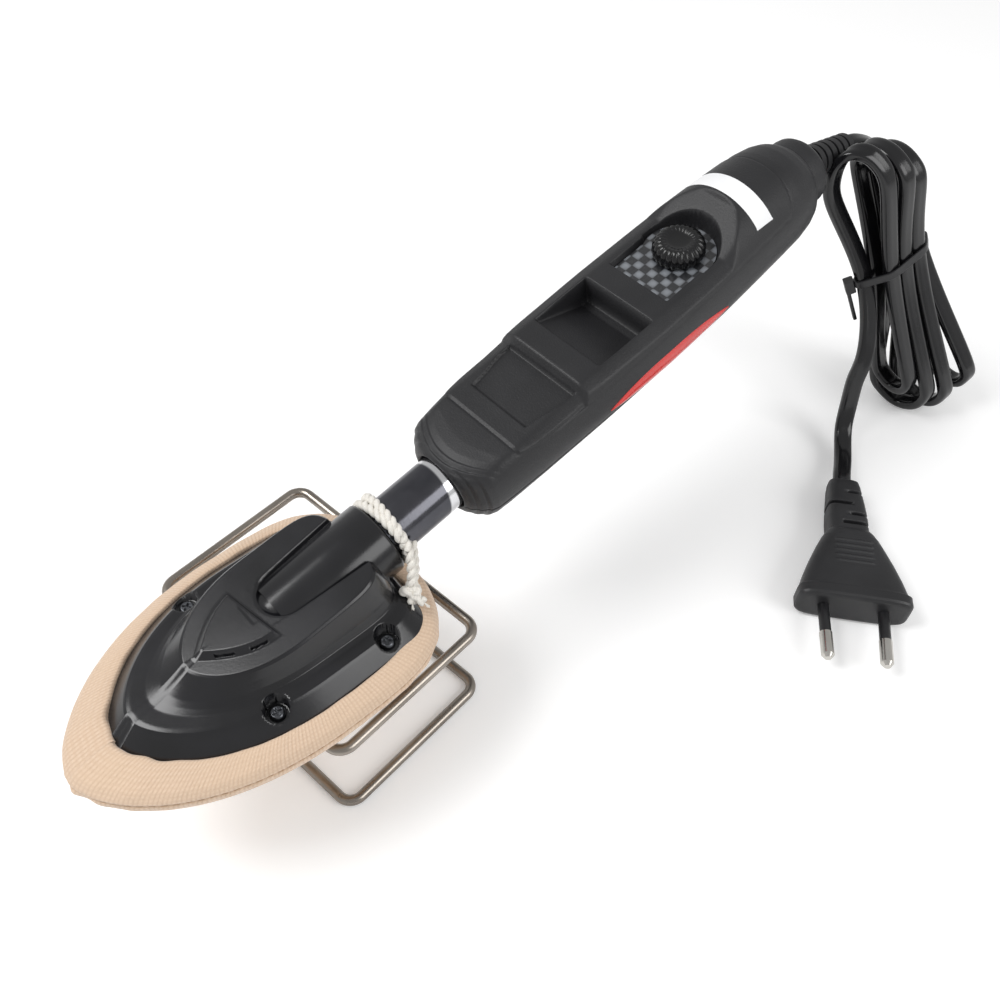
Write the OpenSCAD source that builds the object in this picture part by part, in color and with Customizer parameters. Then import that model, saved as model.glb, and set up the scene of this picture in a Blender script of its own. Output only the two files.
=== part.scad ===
// Film sealing iron: a socked shoe on a pitched handle, resting on a bent wire stand.
// Lengths are millimetres. x runs from the shoe's tip to the cord, z is up, the stand stands on z = 0.

/* [Stand] */
// Wire thickness of the stand
wire_d = 3; // [2.6:0.1:3.4]
// Length of a stand ring along the iron, on the wire's centre line
ring_length = 50.5; // [46:0.5:56]
// Width of a stand ring across the iron, on the wire's centre line
ring_width = 73; // [70:0.5:80]
// Height of the upper ring's centre line
upper_ring_z = 32.7; // [30:0.1:40]

/* [Shoe] */
// Length of the metal sole plate
sole_length = 95; // [92:0.5:97]
// Width of the metal sole plate
sole_width = 60.6; // [59:0.2:62]
// Thickness of the sock's fabric
sock_wall = 1.6; // [1.2:0.1:1.8]
// Height of the moulded cover above the sole plate
cover_height = 14.6; // [14:0.1:15.2]

/* [Neck] */
// Outside diameter of the steel neck tube
tube_d = 16.1; // [15.6:0.1:16.4]
// Wall thickness of the neck tube
tube_wall = 0.9; // [0.7:0.1:1.2]

/* [Handle] */
// Upward pitch of the handle and tube over the level sole, in degrees
handle_pitch = 12.3; // [11.5:0.1:13]
// Length of the handle without its end cap
handle_length = 142; // [141:0.5:145]
// Greatest half width of the handle
handle_radius = 18.4; // [18:0.1:19]
// Wall thickness of the handle's two shells
shell_wall = 1.8; // [1.5:0.1:2]
// Diameter of the control knob over its ribs
knob_d = 15; // [14:0.1:16]

/* [Hidden] */
$fn = 48;

// Plan position of the whole: the middle of iron and stand goes to x = 0, y = 0
centre_x = 78.6;
centre_y = 5.7;

// Clearances
fit = 0.1;
soft_gap = 0.3;

// Stand: both rings share one plan, turned a little against the iron
wire_r = wire_d / 2;
ring_bend = 4.2;
ring_centre = [10.3, 5.7];
ring_yaw = 5.3;
riser_gap = 16;
lap = 0.2;

// Levels of the shoe, built up from the top of the upper ring
rest_z = upper_ring_z + wire_r;
sole_z = rest_z + sock_wall;
sole_thick = 6.4;
cover_z = sole_z + sole_thick + 0.1;
sole_rear = 33;
sole_tip = sole_rear - sole_length;
sole_half = sole_width / 2;
shoe_mid = -4;
cover_top = cover_z + cover_height - 0.3;

// Cover screws stand in half-round pockets in the sides of the lower tier
cover_screw_at = [[-18.8, 20], [13.2, 22]];
pocket_r = 3.2;
pocket_z = cover_z + 3.4;

// Tube axis and handle frame: s along the axis from the handle's mouth, n upward from the axis
mouth = [51.4, 0, rest_z + 26.4];
tube_r = tube_d / 2;
tube_start = -44;
tube_end = 28;
collar_r = tube_r + 2.7;
collar_end = -23.4;

// Handle shells
part_n = -3;
deck_n = 13.3;
pad_n = 10.6;
body_sides = 40;
boss_at = [[34, 9.2], [handle_length - 18, 9.4]];
boss_r = 3.3;
screw_r = 1.4;
tail_n = 4;

// Raised box and its blank well on the deck
box_front = 39.5;
well_front = 48;
well_rear = 68.3;
well_half = 12.3;
well_floor_n = 4.8;

// Fascia and knob
knob_s = 93.4;
fascia_front = 77.3;
fascia_half = 10;
fascia_r = 10.7;
fascia_n = 11.8;
fascia_thick = 1.2;
knob_r = knob_d / 2;
knob_ribs = 24;
shaft_r = 3;

// Side inserts and sticker
insert_s = [46, 95];
insert_n = [-2.9, 2.4];
sticker_s = [111, 119.6];

// Strain relief leaves the end cap drooping a little against the handle
relief_at = [handle_length + 7.6, 0, tail_n];
relief_droop = 17;
relief_length = 24.5;
relief_rings = 7;

// Flat two-core cord, its hank and the plug on the floor
cord_w = 5.9;
cord_t = 3.6;
hank_at = [229.3, -25, 55.4];
hank_turn = -45;
hank_tilt = 7.5;
hank_roll = 26.4;
hank_front = -10.2;
hank_step = -3.2;
hank_back = 8.6;
hank_near_top = [0.6, 35];
hank_far_top = [4.6, 26];
hank_top_r = 13.8;
hank_bottom = [4.4, -47];
hank_bottom_r = 14;
hank_mid = 2.2;
hank_waist = 11.8;
tie_z = 3;
plug_at = [127, -101, 6.9];
plug_turn = -141.5;
pin_r = 2;
pin_core_r = 1.45;
sleeve_r = 1.75;
pin_length = 19;
pin_spacing = 18.6;
pin_toe = 1.6;
plug_width = 35.3;
plug_thick = 13.6;
plug_length = 33;

// Route of the cord from the strain relief to the hank, in the world frame
lead_route = [
  [220.4, 0, 94.4], [224.3, -0.5, 94.5], [228.8, -1.6, 93.6], [233.4, -3, 91], [237.4, -4.1, 86.6],
  [239.2, -5.4, 80.6], [238.6, -8, 73], [236, -12.2, 66.4], [234, -16, 61.6]
];
// Route from the hank's front near the tie down to the plug's sleeve
tail_route = [
  [219, -26, 51.4], [217.6, -29.4, 45.6], [215.2, -32.8, 39.6], [212.4, -35.5, 33.2], [209.9, -36.9, 26],
  [208.2, -38.3, 19], [206.4, -39.9, 13], [203.8, -42, 8.6], [200.4, -45, 6], [196.2, -48.2, 5.2],
  [190.8, -51.6, 5.8], [185.2, -54.8, 6.9]
];

// Shared shapes

module place() {
  translate([-centre_x, -centre_y, 0]) children();
}

module on_handle() {
  translate(mouth) rotate([0, -handle_pitch, 0]) children();
}

module on_ring(z) {
  translate([ring_centre[0], ring_centre[1], z]) rotate([0, 0, ring_yaw]) children();
}

module on_hank() {
  translate(hank_at) rotate([0, 0, hank_turn]) rotate([-hank_tilt, 0, 0]) rotate([0, -hank_roll, 0]) children();
}

module on_plug() {
  translate(plug_at) rotate([0, 0, plug_turn]) children();
}

// Solid through a list of closed rings that all have the same number of points
module loft(rings) {
  count = len(rings[0]);
  last = len(rings) - 1;
  points = [for (ring = rings) each ring];
  sides = [
    for (i = [0 : last - 1]) for (k = [0 : count - 1])
      let (a = i * count + k, b = i * count + (k + 1) % count)
        each [[a, a + count, b + count], [a, b + count, b]]
  ];
  first_cap = [[for (k = [0 : count - 1]) k]];
  last_cap = [[for (k = [count - 1 : -1 : 0]) last * count + k]];
  polyhedron(points, concat(first_cap, sides, last_cap), convexity = 8);
}

function unit(v) = v / norm(v);
function route_direction(route, i) = unit(route[min(i + 1, len(route) - 1)] - route[max(i - 1, 0)]);

// One oval ring round a route: its broad side faces the given direction
function route_ring(at, along, facing, width, thick, sides) =
  let (wide = unit(cross(facing, along)), rise = cross(along, wide))
  [
    for (k = [0 : sides - 1])
      at + wide * (width / 2) * cos(360 * k / sides) + rise * (thick / 2) * sin(360 * k / sides)
  ];

// Oval tube along a route whose broad side turns from one facing to another
module sweep(route, facing, width, thick, sides, last_facing = undef) {
  last = len(route) - 1;
  turned = is_undef(last_facing) ? facing : last_facing;
  loft([
    for (i = [0 : last]) let (share = i / last)
      route_ring(
        route[i], route_direction(route, i), facing * (1 - share) + turned * share, width, thick, sides
      )
  ]);
}

// Rod along x
module rod(r, from, to) {
  translate([from, 0, 0]) rotate([0, 90, 0]) cylinder(r = r, h = to - from);
}

// Stand

module ring_side(length) {
  rotate([0, 90, 0]) cylinder(r = wire_r, h = length, center = true);
}

module ring_corner(x, y, quarter) {
  translate([x, y, 0]) rotate([0, 0, quarter * 90])
    rotate_extrude(angle = 90) translate([ring_bend, 0]) circle(r = wire_r);
}

// One ring, open in the middle of its front wire where the risers turn in
module wire_ring() {
  half_l = ring_length / 2;
  half_w = ring_width / 2;
  inner_l = half_l - ring_bend;
  inner_w = half_w - ring_bend;
  side_gap = riser_gap / 2 + ring_bend;
  for (side = [-1, 1]) {
    translate([0, side * half_w, 0]) ring_side(2 * inner_l);
    translate([-half_l, side * (inner_w + side_gap) / 2, 0]) rotate([0, 0, 90]) ring_side(inner_w - side_gap);
  }
  translate([half_l, 0, 0]) rotate([0, 0, 90]) ring_side(2 * inner_w);
  ring_corner(inner_l, inner_w, 0);
  ring_corner(-inner_l, inner_w, 1);
  ring_corner(-inner_l, -inner_w, 2);
  ring_corner(inner_l, -inner_w, 3);
}

// Quarter bends that turn the front wire up or down into a riser
module riser_bend(side, up) {
  translate([-ring_length / 2, side * (riser_gap / 2 + ring_bend), up * ring_bend])
    rotate([0, 90, 0]) rotate([0, 0, side > 0 ? (up > 0 ? 270 : 180) : (up > 0 ? 0 : 90)])
      rotate_extrude(angle = 90) translate([ring_bend, 0]) circle(r = wire_r);
}

module stand_wire() {
  color("silver") {
    on_ring(wire_r) {
      wire_ring();
      for (side = [-1, 1]) riser_bend(side, 1);
    }
    on_ring(upper_ring_z) {
      wire_ring();
      for (side = [-1, 1]) riser_bend(side, -1);
    }
    // The risers are a hair thicker than the bends and reach a little over their ends
    on_ring(wire_r + ring_bend - lap)
      for (side = [-1, 1])
        translate([-ring_length / 2, side * riser_gap / 2, 0])
          cylinder(r = wire_r + 0.02, h = upper_ring_z - wire_r - 2 * ring_bend + 2 * lap);
  }
}

// Outline of the shoe

// Half width at a share of the way from the widest line to the tip or to the rear
function bow_half(u) = pow(max(0, 1 - pow(u, 2.2)), 1 / 1.65);
function stern_half(u) = pow(max(0, 1 - pow(u, 3.6)), 1 / 2.4);

// Closed outline of the shoe at one level: tip, rear and half width
function shoe_ring(tip, rear, half, z, steps = 12) = [
  for (i = [0 : steps]) let (a = 90 * i / steps)
    [shoe_mid + (tip - shoe_mid) * cos(a), -half * bow_half(cos(a)), z],
  for (i = [1 : steps]) let (a = 90 * (1 - i / steps))
    [shoe_mid + (rear - shoe_mid) * cos(a), -half * stern_half(cos(a)), z],
  for (i = [1 : steps]) let (a = 90 * i / steps)
    [shoe_mid + (rear - shoe_mid) * cos(a), half * stern_half(cos(a)), z],
  for (i = [1 : steps - 1]) let (a = 90 * (1 - i / steps))
    [shoe_mid + (tip - shoe_mid) * cos(a), half * bow_half(cos(a)), z]
];

// Levels of a lofted shoe part: each is [height, inset of the tip, inset of the sides, inset of the rear]
function shoe_levels(z, levels) = [
  for (l = levels) shoe_ring(sole_tip + l[1], sole_rear - l[3], sole_half - l[2], z + l[0])
];

// Sock and drawstring

module sock_outside() {
  loft(shoe_levels(rest_z, [
    [0, 2.4, 2.4, 2.4], [0.5, 0.8, 0.8, 0.8], [2, -1.1, -1.1, -1.1], [4.6, -2.2, -2.2, -2.2],
    [7.6, -2.1, -2.2, -2.2], [9.6, 0.2, -1, -1.2], [11.2, 6, 1.6, 2], [11.6, 10.4, 3.4, 4]
  ]));
}

module sock_inside() {
  gap = soft_gap;
  loft(shoe_levels(sole_z, [
    [-0.1, 1, 1, 1], [0.4, -gap, -gap, -gap], [sole_thick + 0.5, -gap, -gap, -gap],
    [sole_thick + 1.6, 3.4, 0.9, 0.8], [sole_thick + 3.6, 11.6, 4.2, 4.6], [sole_thick + 4.2, 12.4, 4.7, 5.2]
  ]));
}

module sock() {
  color("tan") difference() {
    sock_outside();
    sock_inside();
  }
}

string_d = 2.4;
string_r = string_d / 2;
string_s = -21;

string_knot = [26, -16.4, 50.8];
string_falls = [
  [[30.4, -9.2, 60.4], [29.4, -12.2, 57.6], [27.4, -15, 54], string_knot, [24.4, -18.6, 49]],
  [[32.6, -9.2, 58.4], [31, -11.8, 55], [28.6, -14.4, 52.4], string_knot, [26.6, -20.6, 49.4]]
];

module drawstring() {
  color("ivory") {
    on_handle() translate([string_s, 0, 0]) rotate([0, 90, 0])
      rotate_extrude() translate([tube_r + string_r + fit, 0]) circle(r = string_r, $fn = 16);
    for (fall = string_falls) sweep(fall, [1, 0, 0.3], string_d, string_d, 8);
    translate(string_knot) sphere(r = 2.3);
  }
}

// Sole plate with its heater

heater_pocket = [34, 20, 2.4];
cradle = [13, 26, 7];
cradle_x = 14;
strap_screw_y = 11.1;
strap_wall = 1.3;
sensor_at = [-31, 0];

module tube_cradle_cut() {
  on_handle() rod(tube_r + fit / 2, tube_start - 20, 0);
}

module sole_plate() {
  top = sole_z + sole_thick;
  color("lightgray") difference() {
    union() {
      loft(shoe_levels(sole_z, [
        [0, 1.6, 1.6, 1.6], [1, 0.2, 0.2, 0.2], [sole_thick, 0, 0, 0]
      ]));
      translate([cradle_x - cradle[0] / 2, -cradle[1] / 2, top - 0.5]) cube(cradle);
      for (at = cover_screw_at) for (side = [-1, 1])
        translate([at[0], side * at[1], top - 0.5]) cylinder(r = 2.6, h = 1.8 + 0.5);
    }
    tube_cradle_cut();
    translate([-10 - heater_pocket[0] / 2, -heater_pocket[1] / 2, top - heater_pocket[2]])
      cube([heater_pocket[0], heater_pocket[1], heater_pocket[2] + 1]);
    translate([sensor_at[0], 0, top - 3]) rod(1.6, -5, 5.5);
    translate([sensor_at[0] - 5, -1.6, top - 3]) cube([8.6, 3.2, 4]);
    for (at = cover_screw_at) for (side = [-1, 1])
      translate([at[0], side * at[1], top - 4.6]) cylinder(r = 1.5, h = 10);
    for (side = [-1, 1]) translate([cradle_x, side * strap_screw_y, top - 2]) cylinder(r = 1.5, h = 12);
  }
}

module heating_element() {
  top = sole_z + sole_thick;
  color("dimgray") translate([-10 - heater_pocket[0] / 2 + fit, -heater_pocket[1] / 2 + fit, top - heater_pocket[2]]) {
    cube([heater_pocket[0] - 2 * fit, heater_pocket[1] - 2 * fit, heater_pocket[2]]);
  }
}

module heater_clamp() {
  top = sole_z + sole_thick;
  color("gray") difference() {
    translate([-25, -8, top]) cube([30, 16, 1.2]);
    for (x = [-22, 2]) translate([x, 0, top - 1]) cylinder(r = 1.6, h = 4);
  }
}

module temperature_sensor() {
  top = sole_z + sole_thick;
  color("darkgray") translate([sensor_at[0], 0, top - 3]) rod(1.5, -4.8, 3.4);
}

// Moulded cover over the sole plate

// Each level: [height, inset of the tip, inset of the sides, inset of the rear]
cover_levels = [
  [0, 8.9, 1.6, 3.4], [1.6, 9.9, 2.6, 4], [6.6, 15.7, 7.8, 7], [7.4, 16.9, 8.8, 7.6],
  [8.2, 20.1, 11.2, 8.4], [9.6, 25.1, 14.4, 9.4], [11.6, 28.5, 17.2, 11], [13.2, 30.5, 18.6, 12.2],
  [14, 31.5, 19.3, 13], [14.3, 32.5, 20.2, 13.8]
];
cover_inner_levels = [
  [-0.1, 10.9, 3.6, 5.4], [6, 17.5, 9.6, 8.8], [8, 26.5, 15.4, 11], [12.4, 33.1, 20.8, 14.8]
];

module cover_neck(r, from, to) {
  on_handle() rod(r, from, to);
}

module hollow_beside_neck(side, grow) {
  translate([14, side * 10.2, cover_z + 16.4]) rotate([0, -5, side * 6])
    scale([4.2, 0.95, 1]) sphere(r = 4.3 + grow, $fn = 32);
}

module delta_panel_cut() {
  translate([0, 0, cover_top - 0.9]) linear_extrude(4)
    polygon([[-28.4, 0], [-27.4, -1.6], [-8.6, -7.6], [-9.6, 7.6], [-27.4, 1.6]]);
}

module vent_slots() {
  for (side = [-1, 1])
    translate([-26.4, side * 2.6, cover_top - 3]) rotate([0, 0, side * 17.5])
      for (slot = [[2.6, 4.6], [10.4, 5]])
        translate([slot[0], -0.4 + side * 0.1, 0]) cube([slot[1], 0.8, 5]);
}

module screw_pockets() {
  for (at = cover_screw_at) for (side = [-1, 1])
    translate([at[0], side * at[1], pocket_z]) cylinder(r = pocket_r, h = 12);
}

module pocket_floors() {
  for (at = cover_screw_at) for (side = [-1, 1])
    translate([at[0], side * at[1], cover_z + 1.8]) cylinder(r = pocket_r + 1.2, h = pocket_z - cover_z - 1.8);
}

// Room under the cover for the cradle, the strap and its screws
module strap_room() {
  translate([cradle_x - 8.5, -14, cover_z - 1]) cube([17, 28, 8.4]);
  translate([cradle_x - 3.3, -13.2, cover_z]) cube([6.6, 26.4, 8.8]);
  intersection() {
    on_handle() rod(tube_r + strap_wall + soft_gap, tube_start, -33);
    translate([cradle_x - 3.3, -13.2, cover_z]) cube([6.6, 26.4, 30]);
  }
}

module shoe_cover() {
  color("#3a3a3e") difference() {
    union() {
      difference() {
        loft(shoe_levels(cover_z, cover_levels));
        difference() {
          loft(shoe_levels(cover_z, cover_inner_levels));
          for (side = [-1, 1]) hollow_beside_neck(side, 1.4);
        }
        for (side = [-1, 1]) hollow_beside_neck(side, 0);
      }
      intersection() {
        pocket_floors();
        loft(shoe_levels(cover_z, cover_levels));
      }
      difference() {
        cover_neck(collar_r, -68, collar_end);
        translate([-40, -30, cover_z - 30]) cube([80, 60, 30 + 9]);
      }
    }
    cover_neck(tube_r + fit / 2, tube_start - 2, 10);
    delta_panel_cut();
    vent_slots();
    screw_pockets();
    for (at = cover_screw_at) for (side = [-1, 1])
      translate([at[0], side * at[1], cover_z - 1]) {
        cylinder(r = 1.6, h = 8);
        cylinder(r = 2.7, h = 2.75);
      }
    strap_room();
  }
}

module screw(r, length, head_r, head_h) {
  translate([0, 0, -length]) cylinder(r = r, h = length + 0.01);
  difference() {
    cylinder(r = head_r, h = head_h);
    translate([0, 0, head_h / 2]) {
      cube([head_r * 1.3, 0.6, head_h * 1.2], center = true);
      cube([0.6, head_r * 1.3, head_h * 1.2], center = true);
    }
  }
}

module cover_screws() {
  color("silver")
    for (at = cover_screw_at) for (side = [-1, 1])
      translate([at[0], side * at[1], pocket_z]) screw(screw_r, 7, 2.6, 1.6);
}

// Neck tube and its fixings

module neck_tube() {
  color("gainsboro") on_handle() difference() {
    rod(tube_r, tube_start, tube_end);
    rod(tube_r - tube_wall, tube_start - 1, tube_end + 1);
  }
}

module tube_strap() {
  top = sole_z + sole_thick - 0.5 + cradle[2];
  color("gray") difference() {
    union() {
      translate([cradle_x - 3, -cradle[1] / 2, top]) cube([6, cradle[1], 1.2]);
      intersection() {
        on_handle() rod(tube_r + strap_wall, tube_start, -34);
        translate([cradle_x - 3, -cradle[1] / 2, top]) cube([6, cradle[1], 20]);
      }
    }
    on_handle() rod(tube_r + fit / 2, tube_start - 20, 0);
    for (side = [-1, 1]) translate([cradle_x, side * strap_screw_y, top - 1]) cylinder(r = 1.6, h = 4);
  }
}

module strap_screws() {
  top = sole_z + sole_thick - 0.5 + cradle[2] + 1.2;
  color("silver") for (side = [-1, 1]) translate([cradle_x, side * strap_screw_y, top]) screw(screw_r, 7, 1.8, 1);
}

// Stop ring on the tube, with a flat on top that keeps the tube from turning
module tube_flange() {
  color("silver") on_handle() difference() {
    rod(tube_r + 2.2, 14, 16.4);
    rod(tube_r + fit / 2, 13, 17);
    translate([13, -20, 8.7]) cube([5, 40, 10]);
  }
}

// Handle shells

function body_r(s) = handle_radius - 18.4 + lookup(s, [
  [0, 12.6], [0.8, 14.4], [2.4, 15.6], [5, 16.3], [10, 16.6], [22, 17.4], [45, 18.2], [70, 18.4],
  [handle_length - 47, 18], [handle_length - 30, 17.2], [handle_length - 18, 16.5], [handle_length - 11, 16],
  [handle_length - 6, 15.1], [handle_length - 3, 14], [handle_length - 1, 12.7], [handle_length, 11.7],
  [handle_length + 8, 11.7]
]);
function body_c(s) = lookup(s, [[0, 0.4], [10, 1], [22, 1.9], [45, 3], [70, 3.5], [110, 4], [156, 4]]);
function body_top(s) = lookup(s, [
  [0, 8.6], [1, 9.6], [4, 10.4], [20, 10.8], [box_front - 0.9, 11.2], [box_front, deck_n], [104, deck_n],
  [110.5, 21], [150, 21]
]);
stations = [
  0, 0.8, 2.4, 5, 10, 16, 22, 30, box_front - 0.9, box_front, 50, 70, 90, 104, 106.5, 108.7,
  110.5, for (d = [23, 16, 11, 6, 3, 1, 0]) if (handle_length - d > 111) handle_length - d
];

// One cross-section: a circle cut by the deck, with bevelled deck edges, grown by an amount
function body_ring(s, grow) = let (r = body_r(s), c = body_c(s), top = body_top(s)) [
  for (i = [0 : body_sides - 1])
    let (
      a = 360 * i / body_sides,
      y = (r + grow) * cos(a),
      n = c + (r + grow) * sin(a),
      bevel = top + grow + 0.55 * (max(12.6, 26 - 1.2 * top) - abs(y))
    )
    [s, y, min(n, top + grow, bevel)]
];

module body_solid(grow = 0, from = 0, to = 400) {
  inside = [for (s = stations) if (s > from && s < to) s];
  ends_at = min(to, handle_length);
  cuts = concat([from], inside, ends_at > inside[len(inside) - 1] ? [ends_at] : []);
  loft([for (s = cuts) body_ring(s, grow)]);
}

module upper_half() {
  translate([-10, -40, part_n]) cube([200, 80, 60]);
}

module lower_half() {
  translate([-10, -40, part_n - 60]) cube([200, 80, 60]);
}

module insert_block(side, grow) {
  s0 = insert_s[0] - grow;
  s1 = insert_s[1] + grow;
  lo = insert_n[0] - (grow > 0 ? 0.15 : 0);
  hi = insert_n[1] + grow;
  mid = (insert_n[0] + insert_n[1]) / 2 + 0.6 + grow;
  translate([0, side > 0 ? 22 : -10, 0]) rotate([90, 0, 0]) linear_extrude(12)
    polygon([[s0, lo], [s1, lo], [s1 - 5, mid], [s1 - 12, hi], [s0 + 12, hi], [s0 + 4, mid]]);
}

module insert_pockets() {
  difference() {
    for (side = [-1, 1]) insert_block(side, fit);
    body_solid(-1.05, 40, 100);
  }
}

// Wedge-shaped well: its floor climbs from the rear wall to the deck
module well_shape(grow) {
  half = well_half + grow;
  translate([0, half, 0]) rotate([90, 0, 0]) linear_extrude(2 * half)
    polygon([
      [well_front - grow, deck_n + 3], [well_rear + grow, deck_n + 3], [well_rear + grow, well_floor_n - grow],
      [well_rear - 3, well_floor_n - grow], [well_front + 2 - grow, deck_n - 1.2 - grow]
    ]);
}

module fascia_outline(grow) {
  translate([knob_s, 0]) circle(r = fascia_r + grow);
  translate([fascia_front - grow, -fascia_half - grow])
    square([knob_s - fascia_front + grow, 2 * (fascia_half + grow)]);
}

module nose_cuts() {
  rod(tube_r + 0.15, -5, 12);
  difference() {
    rod(12, -1, 1.3);
    rod(10, -2, 2);
  }
}

// Front pad is sunk into the raised panel; the rear of the pad meets the box
module pad_cut() {
  translate([0, 0, pad_n]) linear_extrude(5)
    polygon([[22, -8.4], [23.4, -10.6], [37.6, -12.6], [37.6, 12.6], [23.4, 10.6], [22, 8.4]]);
}

module bosses(from, to) {
  for (at = boss_at) for (side = [-1, 1])
    translate([at[0], side * at[1], from]) cylinder(r = boss_r, h = to - from);
}

module tube_ribs() {
  for (s = [11, 18]) translate([s, -20, -20]) cube([2, 40, 40]);
}

module inner_ribs() {
  for (s = [50, 108]) translate([s, -20, -20]) cube([1.4, 40, 40]);
}

module rib_clearance() {
  translate([40, -9, -7]) cube([90, 18, 14]);
}

// Ribs and bosses that stay standing inside both shells
module kept_inside() {
  difference() {
    tube_ribs();
    rod(tube_r + 3, 13.4, 17.6);
  }
  bosses(-20, 20);
  difference() {
    inner_ribs();
    rib_clearance();
  }
}

module upper_housing() {
  color("#2c2c2f") on_handle() difference() {
    intersection() {
      body_solid();
      upper_half();
    }
    difference() {
      body_solid(-shell_wall, 4, handle_length - 4);
      kept_inside();
      well_shape(1.4);
      translate([fascia_front - 2, -20, fascia_n - fascia_thick - 1.6])
        cube([fascia_r + knob_s - fascia_front + 4, 40, 12]);
    }
    nose_cuts();
    rod(tube_r + fit / 2, 0, 24);
    pad_cut();
    well_shape(0);
    translate([0, 0, fascia_n - fascia_thick]) linear_extrude(6) fascia_outline(fit);
    translate([knob_s, 0, 0]) cylinder(r = 3.7, h = 12);
    for (at = boss_at) for (side = [-1, 1])
      translate([at[0], side * at[1], part_n - 1]) cylinder(r = screw_r + 0.05, h = 8.5);
    insert_pockets();
    translate([0, 0, tail_n]) rod(8.1, handle_length - 6, handle_length + 18);
  }
}

module lower_housing() {
  color("#2c2c2f") on_handle() difference() {
    intersection() {
      body_solid();
      lower_half();
    }
    difference() {
      body_solid(-shell_wall, 4, handle_length - 4);
      kept_inside();
    }
    nose_cuts();
    rod(tube_r + fit / 2, 0, 24);
    for (at = boss_at) for (side = [-1, 1]) translate([at[0], side * at[1], -30]) {
      cylinder(r = screw_r + 0.2, h = 30);
      cylinder(r = 2.9, h = 24.2);
    }
    translate([0, 0, tail_n]) rod(8.1, handle_length - 6, handle_length + 18);
  }
}

module housing_screws() {
  color("dimgray") on_handle()
    for (at = boss_at) for (side = [-1, 1])
      translate([at[0], side * at[1], -5.8]) mirror([0, 0, 1]) screw(screw_r, 9.6, 2.6, 1.8);
}

module grip_insert(side) {
  color("red") on_handle() intersection() {
    difference() {
      body_solid(0.25, 40, 100);
      body_solid(-0.8, 40, 100);
    }
    insert_block(side, 0);
  }
}

module grip_insert_left() {
  grip_insert(1);
}

module grip_insert_right() {
  grip_insert(-1);
}

module label_sticker() {
  color("white") on_handle() intersection() {
    difference() {
      body_solid(0.2, 110, 121);
      body_solid(0.02, 109, 122);
    }
    translate([sticker_s[0], -14, 10]) cube([sticker_s[1] - sticker_s[0], 28, 14]);
  }
}

// Fascia, knob and electronics

module fascia_plate() {
  color("#55585c") on_handle() difference() {
    translate([0, 0, fascia_n - fascia_thick]) linear_extrude(fascia_thick) fascia_outline(0);
    translate([knob_s, 0, 0]) cylinder(r = 5.6, h = 20);
  }
}

module control_knob() {
  base = fascia_n + 0.3;
  color("#18181a") on_handle() translate([knob_s, 0, base]) difference() {
    union() {
      rotate_extrude() polygon([
        [0, 0], [knob_r - 0.5, 0], [knob_r - 0.4, 2.6], [knob_r - 1.1, 4.6], [knob_r - 2.2, 5.9],
        [knob_r - 3, 6.2], [knob_r - 3.6, 5.9], [1.5, 5.3], [0, 5.2]
      ]);
      for (i = [0 : knob_ribs - 1]) rotate([0, 0, i * 360 / knob_ribs])
        translate([knob_r - 0.7, 0, 0]) cylinder(r = 0.7, h = 4.2, $fn = 16);
    }
    translate([0, 0, -1]) cylinder(r = 5.7, h = 2.2);
    translate([0, 0, -1]) cylinder(r = shaft_r + 0.02, h = 5);
  }
}

module pot_shaft() {
  color("silver") on_handle() translate([knob_s, 0, 4]) cylinder(r = shaft_r, h = fascia_n + 0.3 + 3.9 - 4);
}

module potentiometer() {
  color("seagreen") on_handle() translate([knob_s, 0, 0]) difference() {
    union() {
      translate([0, 0, 2.1]) cylinder(r = 8, h = 6.6);
      translate([0, 0, 8.6]) cylinder(r = 3.6, h = 3.1);
      for (y = [-5, 0, 5]) translate([5, y - 0.5, 2.1]) cube([6, 1, 0.8]);
    }
    translate([0, 0, 3.9]) cylinder(r = shaft_r + 0.06, h = 10);
  }
}

module pot_nut() {
  color("silver") on_handle() translate([knob_s, 0, fascia_n - fascia_thick]) difference() {
    cylinder(r = 5.4, h = 1.1, $fn = 6);
    translate([0, 0, -1]) cylinder(r = 3.65, h = 4);
  }
}

module control_board() {
  color("darkgreen") on_handle() {
    translate([74, -9, 0.4]) cube([44, 18, 1.6]);
    translate([108, -6, 2]) cube([8, 12, 4]);
    translate([76, -7, 2]) cube([5, 5, 3.4]);
  }
}

module heater_leads() {
  color("firebrick") on_handle() {
    for (side = [-1, 1]) translate([0, side * 1.8, -0.8]) rod(1.1, -42, 73.6);
  }
}

module mains_leads() {
  color("saddlebrown") on_handle() {
    for (side = [-1, 1]) translate([0, side * 1.6, 3.2]) rod(1.1, handle_length - 23.8, handle_length + 1);
  }
}

// Tail of the handle

module rear_end_cap() {
  color("#2c2c2f") on_handle() translate([handle_length + 0.05, 0, tail_n]) rotate([0, 90, 0]) difference() {
    rotate_extrude() polygon([
      [0, -5], [8, -5], [8, 0], [10.9, 0], [10.9, 4.6], [10.6, 6], [9.8, 7], [8.6, 7.4], [0, 7.4]
    ]);
    translate([0, 0, -6]) cylinder(r = 6.4, h = 20);
  }
}

function ring_wave(i) = 5.7 - 1.7 * i / relief_rings;

module strain_relief() {
  color("#222224") on_handle() {
    translate([handle_length + 1.2, 0, tail_n]) rod(6.3, 0, 6.2);
    translate(relief_at) rotate([0, relief_droop, 0]) rotate([0, 90, 0]) {
      translate([0, 0, -2.4]) cylinder(r = 4.6, h = 3);
      for (i = [0 : relief_rings - 1]) translate([0, 0, i * relief_length / relief_rings]) {
        cylinder(r = ring_wave(i), h = 2.2);
        cylinder(r = ring_wave(i + 1) - 0.7, h = relief_length / relief_rings + 0.01);
      }
    }
  }
}

// Cord, hank, tie and plug

module cord_lead() {
  color("#1c1c1e") sweep(lead_route, [0.2, 0, 1], cord_w, cord_t, 10, [0.7, 0.7, 0.3]);
}

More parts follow.
